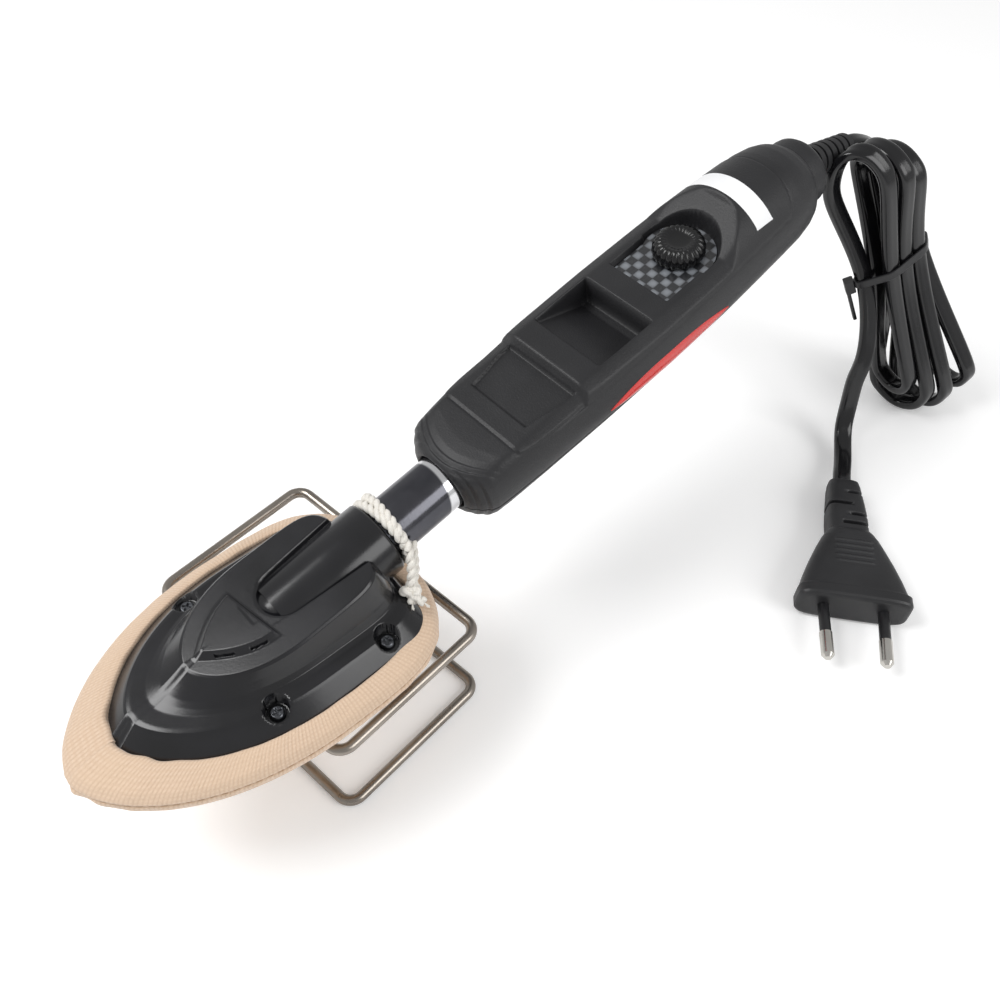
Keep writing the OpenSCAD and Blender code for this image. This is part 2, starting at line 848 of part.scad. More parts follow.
module cord_tail() {
  color("#1c1c1e") sweep(tail_route, [-0.7, -0.7, 0.2], cord_w, cord_t, 10, [-0.1, -0.1, 1]);
}

function arc_points(cx, cy, r, from, to, steps = 10) =
  [for (i = [0 : steps]) let (a = from + (to - from) * i / steps) [cx + r * cos(a), cy + r * sin(a)]];

module hank_slab(from, to, top) {
  translate([0, to, 0]) rotate([90, 0, 0]) linear_extrude(to - from) polygon(concat(
    arc_points(top[0], top[1], hank_top_r, 0, 180),
    [[hank_mid - hank_waist, 8], [hank_mid - hank_waist, -2]],
    arc_points(hank_bottom[0], hank_bottom[1], hank_bottom_r, 180, 360),
    [[hank_mid + hank_waist, -2], [hank_mid + hank_waist, 8]]
  ));
}

// The nearest loops stand tallest, and the far ones end below the strain relief
module cord_hank() {
  color("#1c1c1e") on_hank() {
    hank_slab(hank_front, hank_step, hank_near_top);
    hank_slab(hank_step - 0.5, hank_back, hank_far_top);
  }
}

module rounded_box(x, y, z, r) {
  linear_extrude(z) union() {
    square([x - 2 * r, y], center = true);
    square([x, y - 2 * r], center = true);
    for (i = [-1, 1]) for (j = [-1, 1]) translate([i * (x / 2 - r), j * (y / 2 - r)]) circle(r = r);
  }
}

module cable_tie() {
  inner_x = 2 * hank_waist + 0.2;
  inner_y = hank_back - hank_front + 0.2;
  color("#1c1c1e") on_hank() translate([hank_mid, (hank_back + hank_front) / 2, tie_z]) {
    difference() {
      rounded_box(inner_x + 2.4, inner_y + 2.4, 3, 1.2);
      translate([0, 0, -1]) rounded_box(inner_x, inner_y, 5, 0.1);
    }
    translate([-inner_x / 2 - 5, -inner_y / 2 + 1, -1]) cube([4, 4.6, 5]);
    translate([-inner_x / 2 - 4.6, -inner_y / 2 + 2, -11.9]) cube([1.2, 2.6, 11]);
  }
}

module plug_slab(x, width, thick, length) {
  translate([x, -width / 2, -thick / 2]) cube([length, width, thick]);
}

module plug_body() {
  back = -pin_length - plug_length;
  color("#222224") on_plug() difference() {
    union() {
      hull() {
        plug_slab(-pin_length - 5, plug_width - 1.6, plug_thick - 1.6, 5);
        plug_slab(-pin_length - 4.4, plug_width, plug_thick - 3.4, 3.2);
        plug_slab(-pin_length - 4.4, plug_width - 4, plug_thick, 3.2);
        plug_slab(-pin_length - 11, plug_width - 4, plug_thick - 1.6, 2);
      }
      hull() {
        plug_slab(-pin_length - 11, plug_width - 4, plug_thick - 1.6, 2);
        plug_slab(-pin_length - 20, 22, plug_thick - 1, 2);
        translate([back, 0, 0]) rod(5.6, 0, 2);
      }
      for (i = [0 : 4]) translate([back + 6 + 2.6 * i, 0, 0]) plug_slab(0, 12, plug_thick - 0.4, 1);
      translate([back, 0, 0]) rotate([0, -90, 0]) for (i = [0 : 4]) translate([0, 0, 4.4 * i]) {
        cylinder(r1 = 5.6 - 0.35 * i, r2 = 5.4 - 0.35 * i, h = 3);
        cylinder(r = 3.4, h = 4.41);
      }
    }
    for (side = [-1, 1]) pin_line(side) rod(pin_core_r + 0.02, -8, 1);
  }
}

// Pins toe in slightly toward their tips
module pin_line(side) {
  translate([-pin_length, side * pin_spacing / 2, 0]) rotate([0, 0, -side * pin_toe]) children();
}

module pin_sleeves() {
  color("black") on_plug() for (side = [-1, 1]) pin_line(side) difference() {
    rod(sleeve_r, 0.06, 10);
    rod(pin_core_r + 0.02, -1, 11);
  }
}

module plug_pins() {
  color("silver") on_plug() for (side = [-1, 1]) pin_line(side) {
    rod(pin_core_r, -7.9, 11);
    rod(pin_r, 10.02, pin_length - 1.2);
    translate([pin_length - 1.2, 0, 0]) rotate([0, 90, 0]) cylinder(r1 = pin_r, r2 = pin_r - 0.9, h = 1.2);
  }
}

place() stand_wire();
place() sock();
place() drawstring();
place() sole_plate();
place() heating_element();
place() heater_clamp();
place() temperature_sensor();
place() shoe_cover();
place() cover_screws();
place() neck_tube();
place() tube_strap();
place() strap_screws();
place() tube_flange();
place() upper_housing();
place() lower_housing();
place() housing_screws();
place() fascia_plate();
place() control_knob();
place() pot_shaft();
place() potentiometer();
place() pot_nut();
place() control_board();
place() heater_leads();
place() mains_leads();
place() grip_insert_left();
place() grip_insert_right();
place() label_sticker();
place() rear_end_cap();
place() strain_relief();
place() cord_lead();
place() cord_hank();
place() cord_tail();
place() cable_tie();
place() plug_body();
place() pin_sleeves();
place() plug_pins();
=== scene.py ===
"""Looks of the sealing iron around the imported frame: camera, cord, cloth, shells and materials.

Shapes are worked out in the drawing's own millimetres: z = 0 is the floor, the shoe's middle is at
x = -4 and the handle's axis starts at MOUTH.  at_row() turns them into the row frame in metres.
"""
import math

import bmesh
import bpy
import numpy as np
from mathutils import Matrix, Vector


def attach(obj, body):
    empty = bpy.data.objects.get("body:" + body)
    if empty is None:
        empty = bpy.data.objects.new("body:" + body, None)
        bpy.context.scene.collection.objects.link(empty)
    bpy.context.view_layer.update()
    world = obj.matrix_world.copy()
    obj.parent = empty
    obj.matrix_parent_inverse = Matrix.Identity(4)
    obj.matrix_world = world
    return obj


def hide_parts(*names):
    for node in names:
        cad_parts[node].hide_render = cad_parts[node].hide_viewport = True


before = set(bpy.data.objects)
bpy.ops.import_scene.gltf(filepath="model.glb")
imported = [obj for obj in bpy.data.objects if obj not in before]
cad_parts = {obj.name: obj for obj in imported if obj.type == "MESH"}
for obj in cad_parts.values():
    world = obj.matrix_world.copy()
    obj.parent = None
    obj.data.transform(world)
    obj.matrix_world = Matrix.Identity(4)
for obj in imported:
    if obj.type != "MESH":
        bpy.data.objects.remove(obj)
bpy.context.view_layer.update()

# Sizes that the looks share with the drawing, in mm

MM = 0.001
ORIGIN_MM = np.array([78.6, 5.7, 0.0])
MOUTH = np.array([51.4, 0.0, 60.6])
SLOPE = math.radians(12.3)
ALONG = np.array([math.cos(SLOPE), 0.0, math.sin(SLOPE)])
ACROSS = np.array([0.0, 1.0, 0.0])
RISE = np.array([-math.sin(SLOPE), 0.0, math.cos(SLOPE)])
TUBE_R = 8.05


def at_row(points_mm):
    """Row-frame metres from drawing millimetres: (p - origin) / 1000."""
    return (np.asarray(points_mm, float) - ORIGIN_MM) * MM


def handle_mm(s, y, n):
    """Drawing millimetres from the handle's axes: mouth + s along + y across + n up."""
    s, y, n = np.broadcast_arrays(s, y, n)
    return MOUTH + s[..., None] * ALONG + y[..., None] * ACROSS + n[..., None] * RISE


def on_handle(s, y, n):
    """Row-frame metres from the handle's axes."""
    return at_row(handle_mm(s, y, n))


def step_up(value, low, high):
    """0 below low, 1 above high, and 3t^2 - 2t^3 between."""
    t = np.clip((value - low) / (high - low), 0, 1)
    return t * t * (3 - 2 * t)


def soft_max(a, b, k):
    """Larger of two, rounded over k: (a + b + sqrt((a - b)^2 + k^2)) / 2."""
    return (a + b + np.sqrt((a - b) ** 2 + k * k)) / 2


def circle(steps):
    """Even angles round a whole turn."""
    return np.linspace(0, 2 * math.pi, steps, endpoint=False)


# Camera

CAMERA_MM = (-61.7, -134.4, 265.6)
AZIMUTH, ELEVATION, ROLL = (math.radians(a) for a in (44.9, -50.5, 2.9))


def make_camera():
    """Looks along (cos e cos a, cos e sin a, sin e), with its level side turned by the roll."""
    look = np.array([
        math.cos(ELEVATION) * math.cos(AZIMUTH), math.cos(ELEVATION) * math.sin(AZIMUTH),
        math.sin(ELEVATION),
    ])
    level = np.array([math.sin(AZIMUTH), -math.cos(AZIMUTH), 0.0])
    right = math.cos(ROLL) * level + math.sin(ROLL) * np.cross(level, look)
    place = np.eye(4)
    place[:3] = np.column_stack([right, np.cross(right, look), -look, at_row(CAMERA_MM)])
    data = bpy.data.cameras.new("camera")
    data.sensor_width = 36
    data.lens = 36
    camera = bpy.data.objects.new("camera", data)
    bpy.context.scene.collection.objects.link(camera)
    camera.matrix_world = Matrix(place.tolist())
    bpy.context.scene.camera = camera


make_camera()

# Mesh helpers


def piece_from(name, verts, faces, body, material, replaces=(), uv=None, smooth=True):
    """A mesh object from points in metres and from blocks of faces, each an array of corners."""
    mesh = bpy.data.meshes.new(name)
    mesh.from_pydata(verts.tolist(), [], [face for block in faces for face in block.tolist()])
    mesh.update()
    mesh.polygons.foreach_set("use_smooth", [smooth] * len(mesh.polygons))
    if uv is not None:
        layer = mesh.uv_layers.new(name="surface")
        corners = np.empty(len(mesh.loops), int)
        mesh.loops.foreach_get("vertex_index", corners)
        layer.data.foreach_set("uv", np.asarray(uv, np.float32)[corners].ravel())
    mesh.materials.append(material)
    obj = bpy.data.objects.new(name, mesh)
    bpy.context.scene.collection.objects.link(obj)
    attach(obj, body)
    if replaces:
        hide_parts(*replaces)
    return obj


def finished_copy(node, body, material, slot, angle=30):
    """The node's own triangles merged, and smooth where two faces meet within an angle."""
    mesh = bpy.data.objects[node].data.copy()
    work = bmesh.new()
    work.from_mesh(mesh)
    bmesh.ops.remove_doubles(work, verts=work.verts, dist=2e-6)
    limit = math.radians(angle)
    for edge in work.edges:
        edge.smooth = len(edge.link_faces) != 2 or edge.calc_face_angle(0) <= limit
    for face in work.faces:
        face.smooth = True
        face.material_index = 0
    work.to_mesh(mesh)
    work.free()
    mesh.materials.clear()
    mesh.materials.append(material)
    obj = bpy.data.objects.new(node + "_finished", mesh)
    bpy.context.scene.collection.objects.link(obj)
    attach(obj, body)
    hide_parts(node)
    return obj


def grid_faces(rows, columns, closed=False, start=0, flip=False):
    """Quads between neighbouring rows: (i, j), (i, j + 1), (i + 1, j + 1), (i + 1, j)."""
    i, j = np.meshgrid(np.arange(rows - 1), np.arange(columns if closed else columns - 1), indexing="ij")
    this, after = i * columns + j, i * columns + (j + 1) % columns
    quads = np.stack([this, after, after + columns, this + columns], -1).reshape(-1, 4) + start
    return quads[:, ::-1] if flip else quads


def strip(low, high, columns):
    """Quads between two rows of points that start at low and at high."""
    j = np.arange(columns - 1)
    return np.stack([low + j, low + j + 1, high + j + 1, high + j], 1)


def capped(verts, quads, rows, columns):
    """Closes a swept tube: a fan from the mean of its first ring and one from that of its last."""
    j = np.arange(columns)
    after = (j + 1) % columns
    base = (rows - 1) * columns
    middle = np.full(columns, len(verts))
    fans = [np.stack([middle, after, j], 1), np.stack([middle + 1, base + j, base + after], 1)]
    return np.vstack([verts, verts[:columns].mean(0), verts[base:].mean(0)]), [quads, *fans]


def join(parts):
    """Points and face blocks of several parts as one, each part's corner numbers moved on."""
    verts, faces = np.zeros((0, 3)), []
    for more_verts, more_faces in parts:
        faces += [block + len(verts) for block in more_faces]
        verts = np.vstack([verts, more_verts])
    return verts, faces


def reach_along(line):
    """Distance from the start of a line at each of its points."""
    return np.concatenate([[0], np.cumsum(np.linalg.norm(np.diff(line, axis=0), axis=1))])


def unit(vectors):
    """Vectors brought to length 1."""
    return vectors / np.linalg.norm(vectors, axis=-1, keepdims=True)


def swept(line, wide, rise, outline):
    """An outline (across, up) carried along a line: point + across * wide + up * rise."""
    across, up = outline[None, :, 0:1], outline[None, :, 1:2]
    return (line[:, None, :] + wide[:, None, :] * across + rise[:, None, :] * up).reshape(-1, 3)


def natural_slopes(knots, points):
    """Slopes of the natural cubic spline, from its three-term equations."""
    count = len(knots)
    gap = np.diff(knots)
    rise = np.diff(points, axis=0) / gap[:, None]
    inner = np.arange(1, count - 1)
    system = np.zeros((count, count))
    system[0, :2] = 2, 1
    system[-1, -2:] = 1, 2
    system[inner, inner - 1] = gap[1:]
    system[inner, inner] = 2 * (gap[:-1] + gap[1:])
    system[inner, inner + 1] = gap[:-1]
    middle = 3 * (gap[1:, None] * rise[:-1] + gap[:-1, None] * rise[1:])
    return np.linalg.solve(system, np.vstack([3 * rise[0], middle, 3 * rise[-1]]))


def smooth_line(points, step):
    """Points a step apart on the cubic spline through the given points, and its length.

    The knots stand the square root of each chord apart, and every stretch is the Hermite cubic
    (2t^3 - 3t^2 + 1) p0 + (t^3 - 2t^2 + t) m0 + (3t^2 - 2t^3) p1 + (t^3 - t^2) m1.
    """
    points = np.asarray(points, float)
    knots = np.concatenate([[0], np.cumsum(np.linalg.norm(np.diff(points, axis=0), axis=1) ** 0.5)])
    slopes = natural_slopes(knots, points)
    fine = np.linspace(0, knots[-1], 60 * len(points))
    k = np.clip(np.searchsorted(knots, fine, side="right") - 1, 0, len(knots) - 2)
    gap = (knots[k + 1] - knots[k])[:, None]
    t = (fine - knots[k])[:, None] / gap
    curve = (
        (2 * t**3 - 3 * t**2 + 1) * points[k] + (t**3 - 2 * t**2 + t) * gap * slopes[k]
        + (3 * t**2 - 2 * t**3) * points[k + 1] + (t**3 - t**2) * gap * slopes[k + 1]
    )
    reach = reach_along(curve)
    stops = np.linspace(0, reach[-1], int(reach[-1] / step) + 2)
    return np.stack([np.interp(stops, reach, curve[:, c]) for c in range(3)], 1), reach[-1]


# Materials

# A Mix node's own numbers for its two colours and for the blended one
FIRST, SECOND, BLENDED = 6, 7, 2
METAL = {"Metallic": 1.0}


def colour(code):
    """Linear colour from an sRGB hex code: c / 12.92 up to 0.04045, else ((c + 0.055) / 1.055)^2.4."""
    c = np.array([int(code[i : i + 2], 16) for i in (1, 3, 5)]) / 255
    linear = np.where(c <= 0.04045, c / 12.92, ((c + 0.055) / 1.055) ** 2.4)
    return (*linear.tolist(), 1.0)


def fill(tree, node, sockets):
    """Links or sets a node's sockets, which are named or numbered."""
    for key, value in sockets.items():
        if isinstance(value, bpy.types.NodeSocket):
            tree.links.new(value, node.inputs[key])
        else:
            node.inputs[key].default_value = value


def add(tree, kind, sockets, out=0, **settings):
    """Adds a node of a kind with its sockets and settings, and gives back one of its outputs."""
    node = tree.nodes.new("ShaderNode" + kind)
    for key, value in settings.items():
        setattr(node, key, value)
    fill(tree, node, sockets)
    return node.outputs[out]


def base_material(name, finish):
    """An empty material with its plain values set, its tree, its shader and its coordinates."""
    material = bpy.data.materials.new(name)
    material.use_nodes = True
    tree = material.node_tree
    shader = tree.nodes["Principled BSDF"]
    fill(tree, shader, finish)
    space = tree.nodes.new("ShaderNodeTexCoord").outputs
    return material, tree, shader, space


def moulded(name, dark, light, gloss, grain, grain_depth, finish=None):
    """A moulded or worked surface: two near shades and cloudy gloss in patches, and a fine grain.

    gloss is the range of roughness, grain the grain's cells in a metre and grain_depth its depth in
    metres: 1900 is a cell of 0.5 mm.  Real grain of 0.05 mm or less is drawn that coarse to show.
    The patches are 18 mm across, as wide as the handle's own flats.
    """
    material, tree, shader, space = base_material(name, finish or {})
    cloud = add(tree, "TexNoise", {"Vector": space["Object"], "Scale": 55, "Detail": 3})
    fine = add(tree, "TexNoise", {"Vector": space["Object"], "Scale": grain, "Detail": 4, "Roughness": 0.6})
    share = add(tree, "MapRange", {"Value": cloud, "From Min": 0.35, "From Max": 0.65})
    shades = {"Factor": share, FIRST: colour(dark), SECOND: colour(light)}
    fill(tree, shader, {
        "Base Color": add(tree, "Mix", shades, BLENDED, data_type="RGBA"),
        "Roughness": add(tree, "MapRange", {
            "Value": cloud, "From Min": 0.3, "From Max": 0.7, "To Min": gloss[0], "To Max": gloss[1],
        }),
        "Normal": add(tree, "Bump", {"Height": fine, "Distance": grain_depth}),
    })
    return material


# Fine spark-eroded skin that breaks the highlight on the handle's shells
HOUSING = moulded(
    "spark_textured_nylon", "#1e1e20", "#242426", (0.4, 0.48), 1900, 0.00009, {"Specular IOR Level": 0.42}
)
# Moulded phenolic with a broad soft gloss on the shoe's cover
COVER = moulded("moulded_phenolic", "#161618", "#1d1d20", (0.17, 0.25), 1500, 0.00001)
# Bright drawn wire, a little milky from polishing
WIRE = moulded("polished_steel_wire", "#8f8880", "#a49c93", (0.24, 0.34), 900, 0.00001, METAL)
# Zinc plate on the hidden fixings, pale and faintly cloudy
ZINC = moulded("zinc_plated_steel", "#85878b", "#9fa1a4", (0.22, 0.36), 1800, 0.00002, METAL)
# Darker zinc on the cover's screws, grey with small glints
DARK_ZINC = moulded("dark_zinc_steel", "#55575b", "#6b6d71", (0.25, 0.36), 1800, 0.00002, METAL)
# Black oxide on the screws under the handle, dull and nearly black
BLACK_OXIDE = moulded("black_oxide_steel", "#2b2b2d", "#3a3a3c", (0.35, 0.5), 1800, 0.00002, METAL)
# Nickel on the plug's pins, warm and sharp in its reflections
NICKEL = moulded("nickel_plate", "#b4b1aa", "#cfccc6", (0.14, 0.24), 1200, 0.00001, METAL)
# Ground aluminium of the sole plate, satin grey
ALUMINIUM = moulded("ground_aluminium", "#a5a6a8", "#c0c1c3", (0.28, 0.42), 1200, 0.00003, METAL)
# Fired ceramic of the heater, chalky and without gloss
CERAMIC = moulded("fired_ceramic", "#b9b3a6", "#cbc5b8", (0.6, 0.75), 1600, 0.00004)
# Knob of polished acetal, deep black with crisp glints on its ribs
ACETAL = moulded("polished_acetal", "#09090a", "#0e0e10", (0.2, 0.28), 700, 0.000008)
# Red inserts of soft plastic with a clear gloss
RED = moulded("red_thermoplastic", "#cc1f1b", "#d82a22", (0.2, 0.3), 900, 0.00001, {"Coat Weight": 0.5})
# Film of the blank label, white and half matt
LABEL = moulded("label_film", "#eeeff1", "#f7f7f8", (0.35, 0.45), 1400, 0.000006)
# Thermoplastic rubber of the strain relief, matt black
RUBBER = moulded("relief_rubber", "#151517", "#1c1c1e", (0.42, 0.55), 2200, 0.00003)
# Vinyl of the plug's body with a dull moulded skin
PLUG = moulded("moulded_plug_vinyl", "#1c1c1e", "#242426", (0.38, 0.48), 2400, 0.00004)
# Smooth nylon sleeves on the pins
SLEEVE = moulded("sleeve_nylon", "#151517", "#1d1d1f", (0.3, 0.4), 1500, 0.00001)
# Cable tie of black nylon, half matt
TIE = moulded("cable_tie_nylon", "#1b1b1d", "#262628", (0.3, 0.42), 1500, 0.00002)
# Green lacquer of the board, evenly glossy
BOARD = moulded("lacquered_board", "#1d4a2c", "#255a36", (0.25, 0.35), 1800, 0.00001)
# Moulded case of the potentiometer, dull green
POT = moulded("pot_plastic", "#1f3a2e", "#294638", (0.4, 0.5), 1800, 0.00002)
# Silicone round the heater leads, waxy red
SILICONE = moulded("silicone_lead", "#8a2418", "#9c2d20", (0.5, 0.6), 1800, 0.00002)
# Vinyl round the mains cores, satin brown
MAINS = moulded("mains_core_vinyl", "#6a4322", "#7a4f2b", (0.4, 0.5), 1800, 0.00001)
# Glass bead of the sensor, amber and glossy
GLASS = moulded("sensor_bead", "#a06a32", "#b87d40", (0.1, 0.2), 900, 0.00001)
# Satin vinyl of the flat cord: broad soft highlights, faint scuffs
CORD = moulded("satin_cord_vinyl", "#0f0f11", "#151517", (0.13, 0.2), 1900, 0.00001)

# The tube is bare at the handle and tinted by heat from TINT_END on, in mm from the mouth
TINT_START, TINT_END = -4.0, -4.5


def tube_material():
    """Bright drawn tube with a heat tint, which rises from none at TINT_START to full at TINT_END."""
    material, tree, shader, space = base_material("heat_tinted_steel", METAL)
    x = add(tree, "SeparateXYZ", {"Vector": space["Object"]}, "X")
    mouth_x = at_row(MOUTH)[0]
    tinted = add(tree, "MapRange", {
        "Value": x, "From Min": mouth_x + TINT_END * MM, "From Max": mouth_x + TINT_START * MM,
        "To Min": 1.0, "To Max": 0.0,
    })
    cloud = add(tree, "TexNoise", {"Vector": space["Object"], "Scale": 120, "Detail": 3})
    share = add(tree, "MapRange", {"Value": cloud, "From Min": 0.3, "From Max": 0.7})
    shades = []
    for low, high in (("#d9dadc", "#ececee"), ("#4a4b50", "#5b5b60")):
        both = {"Factor": share, FIRST: colour(low), SECOND: colour(high)}
        shades.append(add(tree, "Mix", both, BLENDED, data_type="RGBA"))
    fine = add(tree, "TexNoise", {"Vector": space["Object"], "Scale": 1500, "Detail": 2})
    both = {"Factor": tinted, FIRST: shades[0], SECOND: shades[1]}
    fill(tree, shader, {
        "Base Color": add(tree, "Mix", both, BLENDED, data_type="RGBA"),
        "Roughness": add(tree, "MapRange", {
            "Value": cloud, "From Min": 0.3, "From Max": 0.7, "To Min": 0.1, "To Max": 0.2,
        }),
        "Normal": add(tree, "Bump", {"Height": fine, "Distance": 0.000006}),
    })
    return material


# Rib, knitted loop and seam stitch in metres; a real rib is 0.5 mm and is drawn coarser to show
RIB, LOOP, SEAM_STITCH = 0.0009, 0.0009, 0.0023


def knit_material(seam_v):
    """Fine rib knit from the piece's own UV in metres, with a line of stitches along V = seam_v.

    height = |sin(pi u / rib)| * (0.75 + 0.25 sin(2 pi v / loop)), with loose fibres over it.
    The height also lightens the colour on the ribs' crests and darkens it in their grooves: painted shade.
    """
    material, tree, shader, space = base_material("rib_knit_cotton", {
        "Roughness": 0.92, "Sheen Weight": 0.35, "Sheen Roughness": 0.5,
    })
    uv = add(tree, "SeparateXYZ", {"Vector": space["UV"]}).node.outputs
    waves = []
    for axis, length in (("X", 2 * RIB), ("Y", LOOP), ("X", SEAM_STITCH)):
        turn = add(tree, "Math", {0: uv[axis], 1: 2 * math.pi / length}, operation="MULTIPLY")
        waves.append(add(tree, "Math", {0: turn}, operation="SINE"))
    rib = add(tree, "Math", {0: waves[0]}, operation="ABSOLUTE")
    loops = add(tree, "Math", {0: waves[1], 1: 0.25, 2: 0.75}, operation="MULTIPLY_ADD")
    height = add(tree, "Math", {0: rib, 1: loops}, operation="MULTIPLY")
    fibre = add(tree, "TexNoise", {"Vector": space["Object"], "Scale": 2600, "Detail": 4, "Roughness": 0.7})
    body = add(tree, "TexNoise", {"Vector": space["Object"], "Scale": 70, "Detail": 3})
    # Painted shade: the rib's height lightens the crests and darkens the grooves, on top of the fibres'
    # random tone
    lit = add(tree, "Math", {0: height, 1: 0.3}, operation="MULTIPLY")
    shade = add(tree, "Math", {0: fibre, 1: 0.55, 2: lit}, operation="MULTIPLY_ADD")
    off_seam = add(tree, "Math", {0: uv["Y"], 1: seam_v}, operation="SUBTRACT")
    off_seam = add(tree, "Math", {0: off_seam}, operation="ABSOLUTE")
    line = add(tree, "MapRange", {
        "Value": off_seam, "From Min": 0.0002, "From Max": 0.0004, "To Min": 1.0, "To Max": 0.0,
    })
    holes = add(tree, "MapRange", {
        "Value": waves[2], "From Min": -0.5, "From Max": 0.2, "To Min": 0.4, "To Max": 0.95,
    })
    worn = {"Value": body, "From Min": 0.35, "From Max": 0.7, "To Max": 0.35}
    tint = colour("#c8a88b")
    layers = (
        (add(tree, "MapRange", {"Value": shade, "From Min": 0.1, "From Max": 0.8}), "#ecd5be"),
        (add(tree, "MapRange", worn), "#dfc3a6"),
        (add(tree, "Math", {0: line, 1: holes}, operation="MULTIPLY"), "#a5815f"),
    )
    for share, code in layers:
        both = {"Factor": share, FIRST: tint, SECOND: colour(code)}
        tint = add(tree, "Mix", both, BLENDED, data_type="RGBA")
    ribbed = add(tree, "Bump", {"Height": height, "Distance": 0.0001})
    fill(tree, shader, {
        "Base Color": tint,
        "Normal": add(tree, "Bump", {"Height": fibre, "Distance": 0.00012, "Normal": ribbed}),
    })
    return material


def cotton_material():
    """Off-white cotton ply; fibres of 0.3 mm break its edges."""
    material, tree, shader, space = base_material("cotton_ply", {"Roughness": 0.9, "Sheen Weight": 0.3})
    fibre = add(tree, "TexNoise", {"Vector": space["Object"], "Scale": 3000, "Detail": 4, "Roughness": 0.7})
    share = add(tree, "MapRange", {"Value": fibre, "From Min": 0.3, "From Max": 0.7})
    both = {"Factor": share, FIRST: colour("#d9d4cb"), SECOND: colour("#f4f1ea")}
    fill(tree, shader, {
        "Base Color": add(tree, "Mix", both, BLENDED, data_type="RGBA"),
        "Normal": add(tree, "Bump", {"Height": fibre, "Distance": 0.0001}),
    })
    return material


# Tile of the woven film, in metres
WEAVE_PITCH = 0.0026


def weave_material():
    """Printed carbon-fibre weave under a clear film, on the plate's own axes.

    With tiles counted by floor(along / pitch) + floor(across / pitch), even ones are light and odd
    ones dark; each is rounded by (|sin| along * |sin| across)^0.35.
    """
    material, tree, shader, space = base_material("carbon_weave_film", {
        "Roughness": 0.35, "Coat Weight": 0.8, "Coat Roughness": 0.12,
    })
    point = add(tree, "SeparateXYZ", {"Vector": space["Object"]}).node.outputs
    level = add(tree, "Math", {0: point["X"], 1: math.cos(SLOPE)}, operation="MULTIPLY")
    along = add(tree, "Math", {0: point["Z"], 1: math.sin(SLOPE), 2: level}, operation="MULTIPLY_ADD")
    across = add(tree, "Math", {0: point["Y"], 1: 1.0}, operation="ADD")
    cells = []
    bulges = []
    for axis in (along, across):
        tiles = add(tree, "Math", {0: axis, 1: WEAVE_PITCH}, operation="DIVIDE")
        cells.append(add(tree, "Math", {0: tiles}, operation="FLOOR"))
        turn = add(tree, "Math", {0: tiles, 1: math.pi}, operation="MULTIPLY")
        wave = add(tree, "Math", {0: turn}, operation="SINE")
        bulges.append(add(tree, "Math", {0: wave}, operation="ABSOLUTE"))
    count = add(tree, "Math", {0: cells[0], 1: cells[1]}, operation="ADD")
    odd = add(tree, "Math", {0: count, 1: 2.0}, operation="MODULO")
    odd = add(tree, "Math", {0: odd}, operation="ABSOLUTE")
    even = add(tree, "Math", {0: 1.0, 1: odd}, operation="SUBTRACT")
    bulge = add(tree, "Math", {0: bulges[0], 1: bulges[1]}, operation="MULTIPLY")
    bulge = add(tree, "Math", {0: bulge, 1: 0.35}, operation="POWER")
    light = add(tree, "Math", {0: even, 1: bulge}, operation="MULTIPLY")
    thread = add(tree, "TexNoise", {"Vector": space["Object"], "Scale": 1800, "Detail": 2})
    lit = add(tree, "Math", {0: light, 1: 0.7}, operation="MULTIPLY")
    tone = add(tree, "Math", {0: thread, 1: 0.2, 2: lit}, operation="MULTIPLY_ADD")
    share = add(tree, "MapRange", {"Value": tone, "From Min": 0.1, "From Max": 0.9})
    both = {"Factor": share, FIRST: colour("#1d1e21"), SECOND: colour("#85898f")}
    fill(tree, shader, {
        "Base Color": add(tree, "Mix", both, BLENDED, data_type="RGBA"),
        "Normal": add(tree, "Bump", {"Height": light, "Distance": 0.00006}),
    })
    return material


# Cord, with its tie and its plug

CORD_W, CORD_T = 5.9, 3.6
HANK_AT = np.array([229.3, -25.0, 55.4])
HANK_TURN, HANK_TILT, HANK_ROLL = -45.0, 7.5, 26.4
# The limbs lie on each other along STACKED, in the hank's own x and y
STACKED = np.array([0.82, 0.57])
TIE_Z = 4.5
# Start of the cord behind the hank, in the hank's own axes
LEAD = [
    (-3.15, 6.7, 46.4), (-0.3, 8.3, 45.8), (2.6, 10.5, 43.6), (5.6, 13.6, 39.6), (7.2, 16.6, 34),
    (6.6, 18, 28), (4, 16.5, 20), (2, 12, 12), (1.2, 6.2, TIE_Z), (6.2, 8.2, -14.0),
]
# Where each limb passes the tie: x, y
TIED = np.array([
    (1.2, 6.2), (12.4, 5.0), (6.4, 3.0), (10.9, -0.6), (1.4, -0.4), (5.9, -4.0), (-3.4, -3.8),
    (0.8, -7.6), (-8.0, -6.8),
])
# Each lower fold: where the far limb and the near limb meet the arc, and its lowest z
FOLDS_DOWN = [
    ((11, 9, -49), (19.6, -3, -50), -58), ((-2.5, 8, -50), (10.4, -8, -50), -60.5),
    ((-9.8, 5, -46), (4.2, -10, -46), -57.5), ((-8.6, 1.5, -39), (-1.2, -10.8, -39), -47),
]
# Each upper fold: near limb, far limb, highest z
FOLDS_UP = [
    ((13.6, 3, 27), (7.4, 15, 27), 34), ((14.8, -2, 31), (5, 13, 32), 40.5),
    ((10.8, -6.5, 35), (0, 9.5, 36), 45), ((4.8, -9.5, 37.5), (-11.4, -5.0, 35.5), 50.4),
]
# From the tie down to the floor and into the plug's relief, in the drawing's axes
TAIL = [
    (212.4, -35.9, 33.5), (209.9, -36.9, 26), (208.2, -38.3, 19), (206.4, -39.9, 13), (203.8, -42, 8.6),
    (200.4, -45, 6), (196.2, -48.2, 5.2), (190.8, -51.6, 5.8), (185.2, -54.8, 6.9), (181.0, -58.1, 6.9),
]


